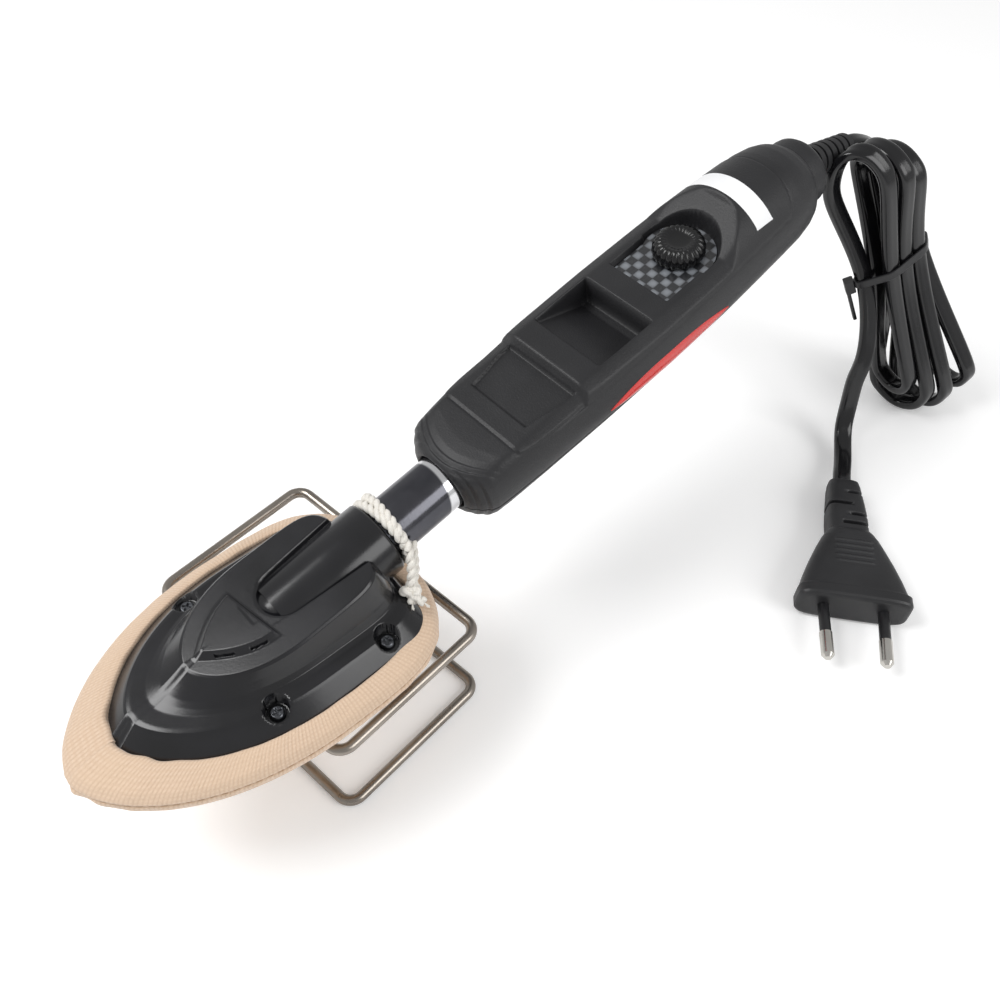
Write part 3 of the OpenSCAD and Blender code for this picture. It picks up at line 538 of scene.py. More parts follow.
def hank_axes():
    """Matrix whose columns are the hank's x, y and z in the drawing's axes."""
    turn = Matrix.Rotation(math.radians(HANK_TURN), 3, "Z")
    tilt = Matrix.Rotation(math.radians(-HANK_TILT), 3, "X")
    roll = Matrix.Rotation(math.radians(-HANK_ROLL), 3, "Y")
    return np.array(turn @ tilt @ roll)


def fold(start, end, apex):
    """Half an ellipse from start to end: c + (start - c) cos t + (0, 0, apex - c_z) sin t."""
    start, end = np.array(start, float), np.array(end, float)
    middle = (start + end) / 2
    t = np.linspace(0, math.pi, 7)[:, None]
    return middle + (start - middle) * np.cos(t) + np.array([0, 0, apex - middle[2]]) * np.sin(t)


def cord_route():
    """The whole cord: lead, four loops through the tie, and the tail."""
    stops = [LEAD]
    for turn in range(4):
        stops += [fold(*FOLDS_DOWN[turn]), [(*TIED[2 * turn + 1], TIE_Z)]]
        stops += [fold(*FOLDS_UP[turn]), [(*TIED[2 * turn + 2], TIE_Z)]]
    wound = HANK_AT + np.vstack(stops) @ hank_axes().T
    return np.vstack([wound, TAIL])


def rounded(angle, half, power):
    """One axis of a superellipse: half * sign(f) * |f|^power, for f a cosine or a sine."""
    return half * np.sign(angle) * np.abs(angle) ** power


def cord_outline():
    """Two joined cores: x = w/2 cos^0.75 a, y = t/2 sin^0.55 a (1 - 0.05 exp(-(x / 0.9)^2))."""
    a = circle(36)
    across = rounded(np.cos(a), CORD_W / 2, 0.75)
    up = rounded(np.sin(a), CORD_T / 2, 0.55)
    return np.stack([across, up * (1 - 0.05 * np.exp(-((across / 0.9) ** 2)))], 1)


def make_cord():
    """The outline carried along the route, with its broad side on the axis that each fold bends round.

    The broad side is level at the relief, turns to the axis of the stack and is level at the plug.
    """
    line, length = smooth_line(cord_route(), 1.0)
    axes = hank_axes()
    stack = axes[:, 0] * STACKED[0] + axes[:, 1] * STACKED[1]
    along = unit(np.gradient(line, axis=0))
    level = unit(np.cross(np.array([0.0, 0.0, 1.0]), along))
    level *= np.sign((level * stack).sum(1))[:, None]
    share = np.linspace(0, 1, len(line))[:, None]
    at_start = 1 - step_up(share, 0.01, 0.06)
    at_end = step_up(share, 0.9, 0.985)
    wide = stack * (1 - at_start) * (1 - at_end) + level * (at_start + at_end)
    for _ in range(12):
        wide[1:-1] = (wide[:-2] + wide[1:-1] * 2 + wide[2:]) / 4
    wide = unit(wide - along * (wide * along).sum(1)[:, None])
    outline = cord_outline()
    verts = swept(line, wide, np.cross(along, wide), outline)
    quads = grid_faces(len(line), len(outline), closed=True)
    verts, faces = capped(verts, quads, len(line), len(outline))
    cord = piece_from(
        "mains_cord", at_row(verts), faces, "iron", CORD,
        replaces=("cord_lead", "cord_hank", "cord_tail"),
    )
    make_plug()
    finished_copy("pin_sleeves", "iron", SLEEVE, "sleeve_plastic")
    finished_copy("plug_pins", "iron", NICKEL, "nickel")
    make_tie()


# Cable tie: strap, head and tail, in the hank's own axes
TIE_THICK, TIE_HIGH, STRAP_STEPS = 1.1, 2.7, 180
TIE_HEAD = ((-14.6, -11.4), (-8.8, -5.2), (1.6, 6.4))
TIE_TAIL = ((-14.4, -13.2), (-8.3, -5.7), (-9.5, 2.4))


def hull_loop(points):
    """Convex outline of plane points: for each of 2880 directions round, the point that is farthest."""
    aim = math.pi + circle(2880)
    farthest = (points @ np.stack([np.cos(aim), np.sin(aim)])).argmax(0)
    return points[farthest[np.append(True, np.diff(farthest) != 0)]]


def bevelled_box(ranges, edge=0.35):
    """A box with its four upright edges cut: eight corners at its foot, eight at its top, two caps."""
    (x0, x1), (y0, y1), (z0, z1) = ranges
    ring = np.array([
        (x0 + edge, y0), (x1 - edge, y0), (x1, y0 + edge), (x1, y1 - edge), (x1 - edge, y1), (x0 + edge, y1),
        (x0, y1 - edge), (x0, y0 + edge),
    ])
    verts = np.vstack([np.column_stack([ring, np.full(8, z)]) for z in (z0, z1)])
    return verts, [grid_faces(2, 8, closed=True), np.arange(8)[None, ::-1], np.arange(8, 16)[None, :]]


def make_tie():
    """Strap round the limbs' own hull, eight corners in its section, with its head and cut tail."""
    a = circle(24)[None, :, None]
    across = np.array([-STACKED[1], STACKED[0]])
    around = TIED[:, None, :] + CORD_W / 2 * np.cos(a) * STACKED + CORD_T / 2 * np.sin(a) * across
    loop = hull_loop(around.reshape(-1, 2))
    loop = np.vstack([loop, loop[:1]])
    reach = reach_along(loop)
    stops = np.linspace(0, reach[-1], STRAP_STEPS, endpoint=False)
    loop = np.stack([np.interp(stops, reach, loop[:, c]) for c in (0, 1)], 1)
    for _ in range(6):
        loop = (np.roll(loop, 1, 0) + 2 * loop + np.roll(loop, -1, 0)) / 4
    along = np.roll(loop, -1, 0) - np.roll(loop, 1, 0)
    outward = unit(np.stack([along[:, 1], -along[:, 0]], 1))
    low, high = TIE_Z - TIE_HIGH / 2, TIE_Z + TIE_HIGH / 2
    section = np.array([
        (0.1, low + 0.2), (0.1, high - 0.2), (0.3, high), (TIE_THICK - 0.2, high), (TIE_THICK, high - 0.25),
        (TIE_THICK, low + 0.25), (TIE_THICK - 0.2, low), (0.3, low), (0.1, low + 0.2),
    ])
    flat = loop + outward * section[:, 0][:, None, None]
    rings = np.concatenate([flat, np.broadcast_to(section[:, 1][:, None, None], (9, STRAP_STEPS, 1))], 2)
    strap = (rings.reshape(-1, 3), [grid_faces(9, STRAP_STEPS, closed=True)])
    verts, faces = join([strap, bevelled_box(TIE_HEAD), bevelled_box(TIE_TAIL)])
    placed = at_row(HANK_AT + verts @ hank_axes().T)
    return piece_from(
        "cable_tie_strap", placed, faces, "iron", TIE, ("cable_tie",), smooth=False
    )


PLUG_AT = np.array([127.0, -101.0, 6.9])
PLUG_TURN = math.radians(-141.5)
# x from the pins' tips, half width, half thickness, squareness
PLUG_STATIONS = [
    [-19.0, 15.2, 4.9, 5.0], [-19.05, 16.4, 5.7, 5.0], [-19.6, 17.2, 6.4, 5.0], [-20.4, 17.6, 6.75, 5.0],
    [-23.2, 17.6, 6.75, 5.0], [-23.5, 17.0, 6.3, 4.8], [-24.0, 16.8, 6.2, 4.6], [-29.2, 15.4, 6.2, 4.4],
    [-34.9, 13.4, 6.25, 4.2], [-40.6, 11.0, 6.3, 4.0], [-44, 9.4, 6.2, 4.0], [-46.4, 8.0, 5.9, 4.0],
    [-47.6, 6.9, 5.4, 4.6], [-48, 6.5, 5.1, 5.0], [-54, 6.5, 4.9, 5.0], [-60, 6.1, 4.6, 4.8],
    [-68, 5.4, 4.0, 4.4], [-70.4, 5.0, 3.6, 4.0], [-71, 4.6, 3.1, 3.6], [-71.1, 3.4, 2.2, 3.0],
]
# Place of each slot in the relief and the share of the width that it spans
RELIEF_SLOTS = [(-50.6, -0.35, 1.1), (-54.6, 0.1, 1.1), (-59.2, -1.1, 0.2), (-64.6, 0.05, 1.1)]
GRIP_PITCH, GRIP_HIGH = 2.1, 0.26


def make_plug():
    """Superellipses y = w cos^(2/q) a, z = t sin^(2/q) a along x, with grip ridges and relief slots."""
    stations = np.array(PLUG_STATIONS)[::-1]
    x = np.unique(np.concatenate([stations[:, 0], np.arange(-70.4, -19.2, 0.22)]))
    half_w, half_t, square = (np.interp(x, stations[:, 0], stations[:, c])[:, None] for c in (1, 2, 3))
    steps = 200
    a = circle(steps)[None, :]
    y = rounded(np.cos(a), half_w, 2 / square)
    z = rounded(np.sin(a), half_t, 2 / square)
    x = x[:, None]
    ridges = GRIP_HIGH * np.clip(np.sin((x + 34) * 2 * math.pi / GRIP_PITCH), -0.2, 1)
    ridges = ridges * step_up(-x, 31.5, 32.5) * (1 - step_up(-x, 42, 43))
    ridges = ridges * (1 - step_up(np.abs(y), 5.5, 6.5))
    z = z + np.sign(z) * ridges * (np.abs(z) > 3)
    share = y / half_w
    for place, first, last in RELIEF_SLOTS:
        cut = np.exp(-(((x - place) / 0.62) ** 6))
        cut = cut * step_up(share, first - 0.05, first + 0.05) * (1 - step_up(share, last, last + 0.1))
        z = z * (1 - 0.55 * cut)
        y = y * (1 - 0.22 * cut)
    forward = np.array([math.cos(PLUG_TURN), math.sin(PLUG_TURN), 0])
    aside = np.array([-math.sin(PLUG_TURN), math.cos(PLUG_TURN), 0])
    verts = PLUG_AT + x[..., None] * forward + y[..., None] * aside + z[..., None] * np.array([0, 0, 1])
    rows = len(x)
    verts, faces = capped(verts.reshape(-1, 3), grid_faces(rows, steps, closed=True), rows, steps)
    return piece_from("two_pin_plug", at_row(verts), faces, "iron", PLUG, ("plug_body",))


# Wire stand, tube, fixings and the pieces inside

FINISHED = [
    ("neck_tube", "iron", tube_material(), "tube_steel"),
    ("tube_strap", "iron", ZINC, "plated_steel"),
    ("strap_screws", "iron", ZINC, "plated_steel"),
    ("tube_flange", "iron", ZINC, "plated_steel"),
    ("pot_nut", "iron", ZINC, "plated_steel"),
    ("heater_clamp", "iron", ZINC, "plated_steel"),
    ("pot_shaft", "knob", ZINC, "plated_steel"),
    ("housing_screws", "iron", BLACK_OXIDE, "black_steel"),
    ("sole_plate", "iron", ALUMINIUM, "cast_aluminium"),
    ("heating_element", "iron", CERAMIC, "ceramic_heater"),
    ("temperature_sensor", "iron", GLASS, "sensor_glass"),
    ("potentiometer", "iron", POT, "pot_plastic"),
    ("control_board", "iron", BOARD, "circuit_board"),
    ("heater_leads", "iron", SILICONE, "silicone_lead"),
    ("mains_leads", "iron", MAINS, "mains_core"),
    ("fascia_plate", "iron", weave_material(), "fascia_plastic"),
    ("rear_end_cap", "iron", HOUSING, "housing_plastic"),
    ("strain_relief", "iron", RUBBER, "relief_rubber"),
]
finished_copy("stand_wire", "stand", WIRE, "steel_wire", 40)
for copied in FINISHED:
    finished_copy(*copied)

# Shoe: sock, cover and its screws

SOLE_TIP, SOLE_REAR, SOLE_HALF, SHOE_MID = -62.0, 33.0, 30.3, -4.0
REST_Z, COVER_Z = 34.2, 42.3


def shoe_ring(tip, rear, half, z, steps, square, blunt):
    """Closed outline at one level: bow (1 - u^2.2)^(1/1.65), stern (1 - u^square)^(1.5 / square)."""
    a = circle(steps)
    u = np.clip(np.cos(a), -1, blunt)
    bow = np.clip(1 - np.abs(u) ** 2.2, 0, 1) ** (1 / 1.65)
    stern = np.clip(1 - np.abs(u) ** square, 0, 1) ** (1.5 / square)
    x = np.where(u > 0, SHOE_MID + (tip - SHOE_MID) * u, SHOE_MID + (rear - SHOE_MID) * -u)
    y = -np.sign(np.sin(a)) * half * np.where(u > 0, bow, stern)
    return np.stack([x, y, np.full(steps, z)], 1)


def levels_surface(base_z, levels, rows, steps, soften, square=3.6, blunt=1.0):
    """Rings at even steps along a table of levels, its corners softened by a running mean.

    A level is its height and how far its tip, side and rear stand inside the sole's.
    """
    levels = np.array(levels, float)
    reach = reach_along(levels[:, [0, 2]])
    t = np.linspace(0, reach[-1], rows)
    table = np.stack([np.interp(t, reach, levels[:, c]) for c in range(4)], 1)
    for _ in range(soften):
        table[1:-1] = (table[:-2] + 2 * table[1:-1] + table[2:]) / 4
    rings = [
        shoe_ring(SOLE_TIP + tip, SOLE_REAR - rear, SOLE_HALF - side, base_z + z, steps, square, blunt)
        for z, tip, side, rear in table
    ]
    return np.array(rings), t


SOCK_LEVELS = [
    [0, 31, 27, 31], [0, 2.4, 2.4, 2.4], [0.5, 0.8, 0.8, 0.8], [2, -1.1, -1.1, -1.1],
    [4.6, -2.2, -2.2, -2.2], [7.6, -2.1, -2.2, -2.2], [9.6, 0.2, -1, -1.2], [11.2, 6, 1.6, 2],
    [11.6, 9.8, 3.2, 3.8], [11.3, 10.6, 3.6, 4.3], [9.8, 11.2, 4, 4.8], [8.6, 11.4, 4.2, 5],
]
SOCK_ROWS, SOCK_STEPS, FIRST_RAISED = 150, 640, 41
SEAM_HEIGHT, SEAM_DEPTH = 6.4, 0.5
GATHER, PUCKER = 0.42, 0.16


def make_sock():
    """The shoe's levels, moved outwards by gathers, seam and puckers.

    Gathers are sums of sines along the rim, deepest at the tip and beside the neck.  The seam is a
    groove -0.5 exp(-((h - 6.4) / 0.4)^2), and puckers of the same form hang below it.
    """
    rings, t = levels_surface(REST_Z, SOCK_LEVELS, SOCK_ROWS, SOCK_STEPS, 3)
    arc = reach_along(rings[70])
    a = circle(SOCK_STEPS)
    from_tip = np.minimum(a, 2 * math.pi - a)
    height = rings[:, :, 2] - REST_Z
    at_tip = np.exp(-((from_tip / 0.55) ** 2))
    at_neck = np.exp(-(((a - math.pi) / 0.5) ** 2))
    wave = (
        np.sin(arc / 1.9 + 1.3 * np.sin(arc / 13)) + 0.6 * np.sin(arc / 1.13 + 2 + np.sin(arc / 7))
        + 0.4 * np.sin(arc / 4.7 + 1)
    )
    gathers = GATHER * (0.12 + at_tip + 0.8 * at_neck) * wave * step_up(height, 6.6, 10.5)
    seam = -SEAM_DEPTH * np.exp(-(((height - SEAM_HEIGHT) / 0.4) ** 2))
    puckers = PUCKER * np.sin(arc / 0.95 + 0.6 * np.sin(arc / 5)) * np.exp(
        -(((height - SEAM_HEIGHT + 1.6) / 1.2) ** 2)
    )
    puckers = puckers * (1 + 3.2 * np.exp(-((from_tip / 0.2) ** 2)))
    raised = np.arange(SOCK_ROWS)[:, None] >= FIRST_RAISED
    outward = unit(rings - np.array([SHOE_MID, 0, REST_Z + 2]))
    moved = rings + outward * (gathers + (seam + puckers) * raised)[:, :, None]
    moved[:, :, 2] = np.maximum(moved[:, :, 2], REST_Z)
    bottom = SOCK_ROWS * SOCK_STEPS
    verts = np.vstack([moved.reshape(-1, 3), [[SHOE_MID - 10, 0, REST_Z]]])
    j = np.arange(SOCK_STEPS)
    fan = np.stack([np.full(SOCK_STEPS, bottom), (j + 1) % SOCK_STEPS, j], 1)
    u, v = np.broadcast_arrays(arc[None, :], t[:, None])
    uv = np.vstack([np.stack([u, v], -1).reshape(-1, 2) * MM, [[0, 0]]])
    crest = int(np.argmax(rings[:, 0, 2]))
    seam_v = float(np.interp(SEAM_HEIGHT, height[:crest, 0], t[:crest])) * MM
    return piece_from(
        "knit_sock", at_row(verts), [grid_faces(SOCK_ROWS, SOCK_STEPS, closed=True), fan], "iron",
        knit_material(seam_v), replaces=("sock",), uv=uv,
    )


COVER_LEVELS = [
    [0, 8.9, 1.6, 3.4], [1.4, 9.3, 2, 3.7], [1.7, 10.2, 2.9, 4.4], [6.7, 15.4, 7.6, 7.1],
    [7.2, 16.1, 8.2, 7.5], [7.45, 17.2, 9, 7.9], [7.6, 21.6, 11.2, 8.5], [8.2, 23.6, 12.4, 9],
    [9.4, 25.6, 13.3, 9.8], [11.6, 28.6, 14.2, 11.2], [13.9, 31.7, 15, 12.9], [14.3, 32.5, 15.6, 13.6],
]
COVER_STEPS = 560
# The upper tier starts here and its top rises towards the handle
TIER_Z, TOP_Z = COVER_Z + 8.2, COVER_Z + 14.3
PLATEAU_X, PLATEAU_Z, PLATEAU_SLOPE = -28.0, 55.2, 0.15
COLLAR_R, COLLAR_END = 10.75, -23.4
# Raised delta: tip and rear in x, half width at the rear, height and the run of its sloped edge
DELTA_TIP, DELTA_REAR, DELTA_HALF, DELTA_HIGH, DELTA_RUN = -27.6, -9.0, 9.9, 1.4, 1.8
SLOTS_X = [(-23.3, -19.3), (-16.0, -11.7)]
SCREWS_AT = [(-18.8, 20.0), (13.2, 22.0)]
POCKET_Z, POCKET_R = 45.7, 3.2


def delta_lift(x, y):
    """Height of the raised delta, with two vent slots in its right-hand sloped edge.

    Its half width is DELTA_HALF (1 - (back / length)^2), and its edge rises over DELTA_RUN.
    """
    length = DELTA_REAR - DELTA_TIP
    back = np.clip(DELTA_REAR - x, 0, None)
    half = DELTA_HALF * (1 - (back / length) ** 2)
    lean = DELTA_HALF * 2 * back / length**2
    side = (half - np.abs(y)) / np.sqrt(1 + lean**2)
    rear = (-10.0 - 0.15 * y - x) * 2.4
    lift = DELTA_HIGH * np.clip(np.minimum(side, rear) / DELTA_RUN, 0, 1)
    for first, last in SLOTS_X:
        in_slot = (np.abs(side - 0.85) < 0.3) & (x > first) & (x < last) & (y < 0)
        lift = np.where(in_slot, lift - 1.4, lift)
    return lift


def neck_trough(x, y):
    """Depth of the trough round the neck: half width 7 to 9 mm, rounded at the front, open behind."""
    half = 7.0 + 0.075 * (x + 8)
    inside = half - np.hypot(y, np.clip(-1.5 - x, 0, None) * half / 7)
    return np.clip(1.6 + 0.24 * (x + 8), 0, None) * step_up(inside, 0, 2.4)


def cover_height(x, y, z):
    """Height of the cover's skin: tiers, rising top, delta, trough and the neck's half round.

    The neck is axis + sqrt(r^2 - y^2) / cos(slope), blended in by the soft maximum.
    """
    plateau = PLATEAU_Z + PLATEAU_SLOPE * (x - PLATEAU_X)
    risen = TIER_Z + (z - TIER_Z) * (plateau - TIER_Z) / (TOP_Z - TIER_Z)
    upper = z > TIER_Z
    z = np.where(upper, risen + delta_lift(x, y) - neck_trough(x, y), z)
    radius = np.clip(9.6 + 0.045 * (x + 8), 9.6, COLLAR_R)
    axis_z = MOUTH[2] + (x - MOUTH[0]) * math.tan(SLOPE)
    round_z = axis_z + np.sqrt(np.clip(radius**2 - y**2, 0, None)) / math.cos(SLOPE)
    neck = np.where(np.abs(y) < radius, round_z, axis_z - 8)
    near = upper & (neck > z - 3) & (x > -12)
    return np.where(near, soft_max(z, neck, 0.6) - 0.1, z)


def cut_pockets(skin):
    """Round pockets over the screws: points near a rim move onto it, those inside go to the floor."""
    for x, half in SCREWS_AT:
        for y in (-half, half):
            off = skin[..., :2] - np.array([x, y])
            away = np.linalg.norm(off, axis=-1)
            inside = away < POCKET_R
            near = np.abs(away - POCKET_R) < 0.42
            goal = np.where(inside, POCKET_R - 0.08, POCKET_R + 0.08)
            share = np.where(near, goal / np.maximum(away, 1e-6), 1.0)
            skin[..., :2] = np.array([x, y]) + off * share[..., None]
            skin[..., 2] = np.where(inside, np.minimum(skin[..., 2], POCKET_Z), skin[..., 2])


def make_cover():
    """Rings of the tiers, then rings that shrink from the top edge onto its middle line."""
    rings, _ = levels_surface(COVER_Z, COVER_LEVELS, 120, COVER_STEPS, 0, 6.5, 0.993)
    top = rings[-1]
    heart = np.stack([np.clip(top[:, 0], -22, 12), np.zeros(COVER_STEPS), top[:, 2]], 1)
    share = np.linspace(0, 1, 57)[1:, None, None]
    inner = top * (1 - share) + heart * share
    inner[:, :, 2] += 0.001
    skin = np.vstack([rings, inner])
    skin[:, :, 2] = cover_height(skin[:, :, 0], skin[:, :, 1], skin[:, :, 2])
    cut_pockets(skin)
    faces = [grid_faces(len(skin), COVER_STEPS, closed=True), np.arange(COVER_STEPS)[None, ::-1]]
    piece_from(
        "moulded_cover", at_row(skin.reshape(-1, 3)), faces, "iron", COVER, ("shoe_cover",)
    )


# Along the handle's axis, radius
COLLAR_PROFILE = np.array([
    [-56, COLLAR_R], [-40, COLLAR_R], [COLLAR_END - 0.8, COLLAR_R], [COLLAR_END - 0.2, COLLAR_R - 0.25],
    [COLLAR_END, COLLAR_R - 0.8], [COLLAR_END, TUBE_R + 0.7], [COLLAR_END + 0.1, TUBE_R + 0.3],
    [COLLAR_END + 0.6, TUBE_R + 0.06],
])


def make_collar():
    """Round end of the cover on the tube: its profile turned round the handle's axis."""
    a = circle(128)
    along, radius = COLLAR_PROFILE[:, :1], COLLAR_PROFILE[:, 1:]
    points = on_handle(along, radius * np.cos(a), radius * np.sin(a))
    faces = [grid_faces(len(along), 128, closed=True, flip=True)]
    piece_from("cover_collar", points.reshape(-1, 3), faces, "iron", COVER)


# Radius and height of a screw's shank and head, whose flat top is at HEAD_Z
SCREW_ROWS = [
    (0.6, 38.8), (1.4, 39.4), (1.45, 45.74), (1.95, 45.76), (2.05, 46.2), (1.95, 46.6), (1.65, 46.9),
]
HEAD_Z = 47.05
CROSS_HALF, CROSS_REACH, CROSS_DEEP = 0.3, 1.2, 0.75


def make_cover_screws():
    """Four domed heads in their pockets, each a turned profile with a cross sunk in its flat top."""
    a = circle(96)
    top = np.append(np.arange(1.5, 0, -0.1), 0.02)
    rows = np.vstack([SCREW_ROWS, np.stack([top, np.full(len(top), HEAD_Z)], 1)])
    dx, dy = rows[:, :1] * np.cos(a), rows[:, :1] * np.sin(a)
    parts = []
    for x, half in SCREWS_AT:
        for k, y in enumerate((-half, half)):
            turn = 0.5 + 0.7 * k + 0.03 * x
            u = np.abs(dx * math.cos(turn) + dy * math.sin(turn))
            v = np.abs(dy * math.cos(turn) - dx * math.sin(turn))
            on_cross = (np.minimum(u, v) < CROSS_HALF) & (np.maximum(u, v) < CROSS_REACH)
            z = rows[:, 1:] - CROSS_DEEP * (on_cross & (rows[:, 1:] > 47))
            rings = np.stack([x + dx, y + dy, z], -1)
            parts.append((rings.reshape(-1, 3), [grid_faces(len(rows), 96, closed=True)]))
    verts, faces = join(parts)
    piece_from(
        "cross_head_screws", at_row(verts), faces, "iron", DARK_ZINC, ("cover_screws",)
    )


make_sock()
make_cover()
make_cover_screws()
make_collar()

# Handle shells

# Radius, height of the round's centre and height of the deck at places along the axis
RADII = [
    [-0.8, 9.8], [-0.3, 11.2], [0.6, 12.2], [0.9, 12.2], [1.3, 13.4], [2.6, 14.5], [2.9, 14.5],
    [3.4, 15.5], [5.5, 16.3], [10, 16.7], [22, 17.4], [45, 18.2], [70, 18.4], [95, 18], [112, 17.2],
    [124, 16.5], [131, 16], [136, 15.1], [139, 14], [141, 12.7], [142, 11.7],
]
CENTRES = [[0, 0.4], [10, 1], [22, 1.9], [45, 3], [70, 3.5], [110, 4], [156, 4]]
DECK = [
    [-0.8, 9.2], [0.3, 9.8], [0.6, 9.4], [2.1, 10.1], [2.4, 9.8], [4.4, 10.4], [8, 10.7], [20, 10.8],
    [38.6, 11.2], [40.2, 13.3], [97.5, 13.3], [109.3, 19.7], [111.5, 22.5], [150, 22.5],
]
PART_N = -3.0
SHELL_LENGTH = 142.0
EDGE_RUN = 0.35
PAD_FRONT, PAD_REAR, PAD_N = 22.4, 38.2, 10.25
WELL_FRONT, WELL_REAR, WELL_HALF, WELL_HIGH, WELL_LOW = 48.0, 68.3, 12.3, 12.3, 4.8
FASCIA_FRONT, KNOB_S, FASCIA_HALF, FASCIA_R, FASCIA_N = 77.3, 93.4, 10.0, 10.7, 11.8
PANEL_FRONT, PANEL_REAR, PANEL_PROUD, GROOVE = 15.6, 127.7, 0.36, 0.24
# Radius and place of each ring that leads from the shell's front edge into the bore
BORE_RINGS = np.array([(9.6, -0.9), (9.2, -0.95), (8.9, -0.8), (8.75, -0.4), (8.7, 4.0)])
# The shells close on the end cap round this centre
CAP_R, CAP_N = 9.0, 4.0


def table_at(table, s):
    """A table's value, softened over 0.4 mm by the mean of five readings."""
    table = np.array(table, float)
    return sum(np.interp(s + d, table[:, 0], table[:, 1]) for d in (-0.2, -0.1, 0, 0.1, 0.2)) / 5


def skin_n(s, y):
    """Height of the shell over the handle's axis: the round, cut by the deck and its bevels."""
    r, c = table_at(RADII, s), table_at(CENTRES, s)
    top = table_at(DECK, s - 0.03 * y * y * (1 - step_up(s, 8, 16)))
    round_n = c + np.sqrt(np.clip(r * r - y * y, 0, None))
    bevel = top + 0.55 * (np.maximum(12.6, 26 - 1.2 * top) - np.abs(y))
    flat = -soft_max(-top, -bevel, 0.5) + 0.1
    k = 0.4 + 2.6 * (1 - step_up(s, 2, 20))
    return -soft_max(-round_n, -flat, k) + 0.2 * k


def recess(s, y, n):
    """Height with the front pad, the sunk window and the fascia's seat taken from the deck.

    Each is n (1 - inside) + min(n, floor) inside, where inside rises from 0 to 1 over its edge.
    """
    wall = EDGE_RUN
    in_pad = (
        step_up(s, PAD_FRONT - wall, PAD_FRONT) * (1 - step_up(s, PAD_REAR, PAD_REAR + wall))
        * (1 - step_up(np.abs(y) - 10.4 - 2.0 * step_up(s, 22, 37), 0, wall))
    )
    in_well = (
        step_up(s, WELL_FRONT, WELL_FRONT + wall) * (1 - step_up(s, WELL_REAR - wall, WELL_REAR + wall))
        * (1 - step_up(np.abs(y), WELL_HALF - 0.6, WELL_HALF + wall))
    )
    down = np.clip((s - WELL_FRONT) / (WELL_REAR - 3 - WELL_FRONT), 0, 1)
    beyond_arch = np.hypot(np.maximum(s - KNOB_S, 0), y) - (FASCIA_R + 0.15)
    beyond_front = FASCIA_FRONT - 0.15 - s
    beyond_side = np.abs(y) - np.where(s > KNOB_S - 3, FASCIA_R + 0.15, FASCIA_HALF + 0.15)
    in_seat = 1 - step_up(np.maximum(np.maximum(beyond_arch, beyond_front), beyond_side), 0, 0.8)
    sloped = WELL_HIGH + (WELL_LOW - WELL_HIGH) * down
    for inside, floor in ((in_pad, PAD_N), (in_well, sloped), (in_seat, FASCIA_N - 0.6)):
        n = n * (1 - inside) + np.minimum(n, floor) * inside
    return n


def panel_edge(s, n_over):
    """Distance in mm inside the raised top panel's outline: straight front, arched rear."""
    front = s - PANEL_FRONT - 2.6 * np.clip(9.9 - n_over, 0, 2)
    side = (n_over - 9.3 - 1.6 * step_up(s, 20, 110)) * 1.2
    rear = PANEL_REAR - s - 0.035 * np.clip(20 - n_over, 0, 12) ** 2
    return np.minimum(np.minimum(front, side), rear)


def cross_columns(s, upper):
    """Columns of (y, n) across the shell at each s: even y over the deck, angles down the sides."""
    r, c = table_at(RADII, s)[:, None], table_at(CENTRES, s)[:, None]
    over = np.arcsin(np.clip((PART_N - c) / r, -1, 1))
    if not upper:
        turn = over + (-math.pi - 2 * over) * np.linspace(0, 1, 150)[None, :]
        return r * np.cos(turn), c + r * np.sin(turn)
    edge_y = np.minimum(13.0, r * 0.86)
    turn = over + (np.arccos(edge_y / r) - over) * np.linspace(0, 1, 44)[None, :-1]
    side_y, side_n = r * np.cos(turn), c + r * np.sin(turn)
    deck_y = edge_y * np.linspace(1, -1, 107)[None, :]
    y = np.hstack([side_y, deck_y, -side_y[:, ::-1]])
    n = np.hstack([side_n, np.full_like(deck_y, np.inf), side_n[:, ::-1]])
    return y, np.minimum(n, skin_n(s[:, None] + 0 * y, y))


def make_shell(upper):
    """One half of the handle: cross columns along the axis, closed to the bore and to the end cap."""
    s = np.unique(np.concatenate([
        np.arange(-0.8, 12, 0.15), np.arange(12, 136, 0.38), np.linspace(136, SHELL_LENGTH, 24),
    ]))
    y, n = cross_columns(s, upper)
    rows, columns = y.shape
    s = s[:, None]
    if upper:
        edge = panel_edge(s, n)
        n = n + PANEL_PROUD * step_up(edge, -0.16, 0.16) - GROOVE * np.exp(-(((edge + 0.3) / 0.3) ** 2))
        n = recess(s, y, n)
    # Round the two long edges into the parting line
    for k, sink in ((0, 0.55), (1, 0.12)):
        for column in (k, -1 - k):
            y[:, column] -= np.sign(y[:, column]) * sink
    skin = on_handle(s, y, n)
    direction = unit(np.stack([y[0], n[0]], 1))
    limit = np.minimum(BORE_RINGS[:, :1], np.hypot(y[0], n[0]) - 0.02)
    bore = on_handle(BORE_RINGS[:, 1:], direction[:, 0] * limit, direction[:, 1] * limit)
    inward = unit(np.stack([y[-1], n[-1] - CAP_N], 1)) * CAP_R
    cap = on_handle(np.full(columns, SHELL_LENGTH), inward[:, 0], inward[:, 1] + CAP_N)
    bore_base = rows * columns
    cap_base = bore_base + len(bore) * columns
    faces = [
        grid_faces(rows, columns), strip(0, bore_base, columns)[:, ::-1],
        grid_faces(len(bore), columns, start=bore_base, flip=True),
        strip((rows - 1) * columns, cap_base, columns),
    ]
    verts = np.vstack([part.reshape(-1, 3) for part in (skin, bore, cap)])
    name, node = ("upper_shell", "upper_housing") if upper else ("lower_shell", "lower_housing")
    piece_from(name, verts, faces, "iron", HOUSING, (node,))


make_shell(True)
make_shell(False)

# Red inserts and the blank label

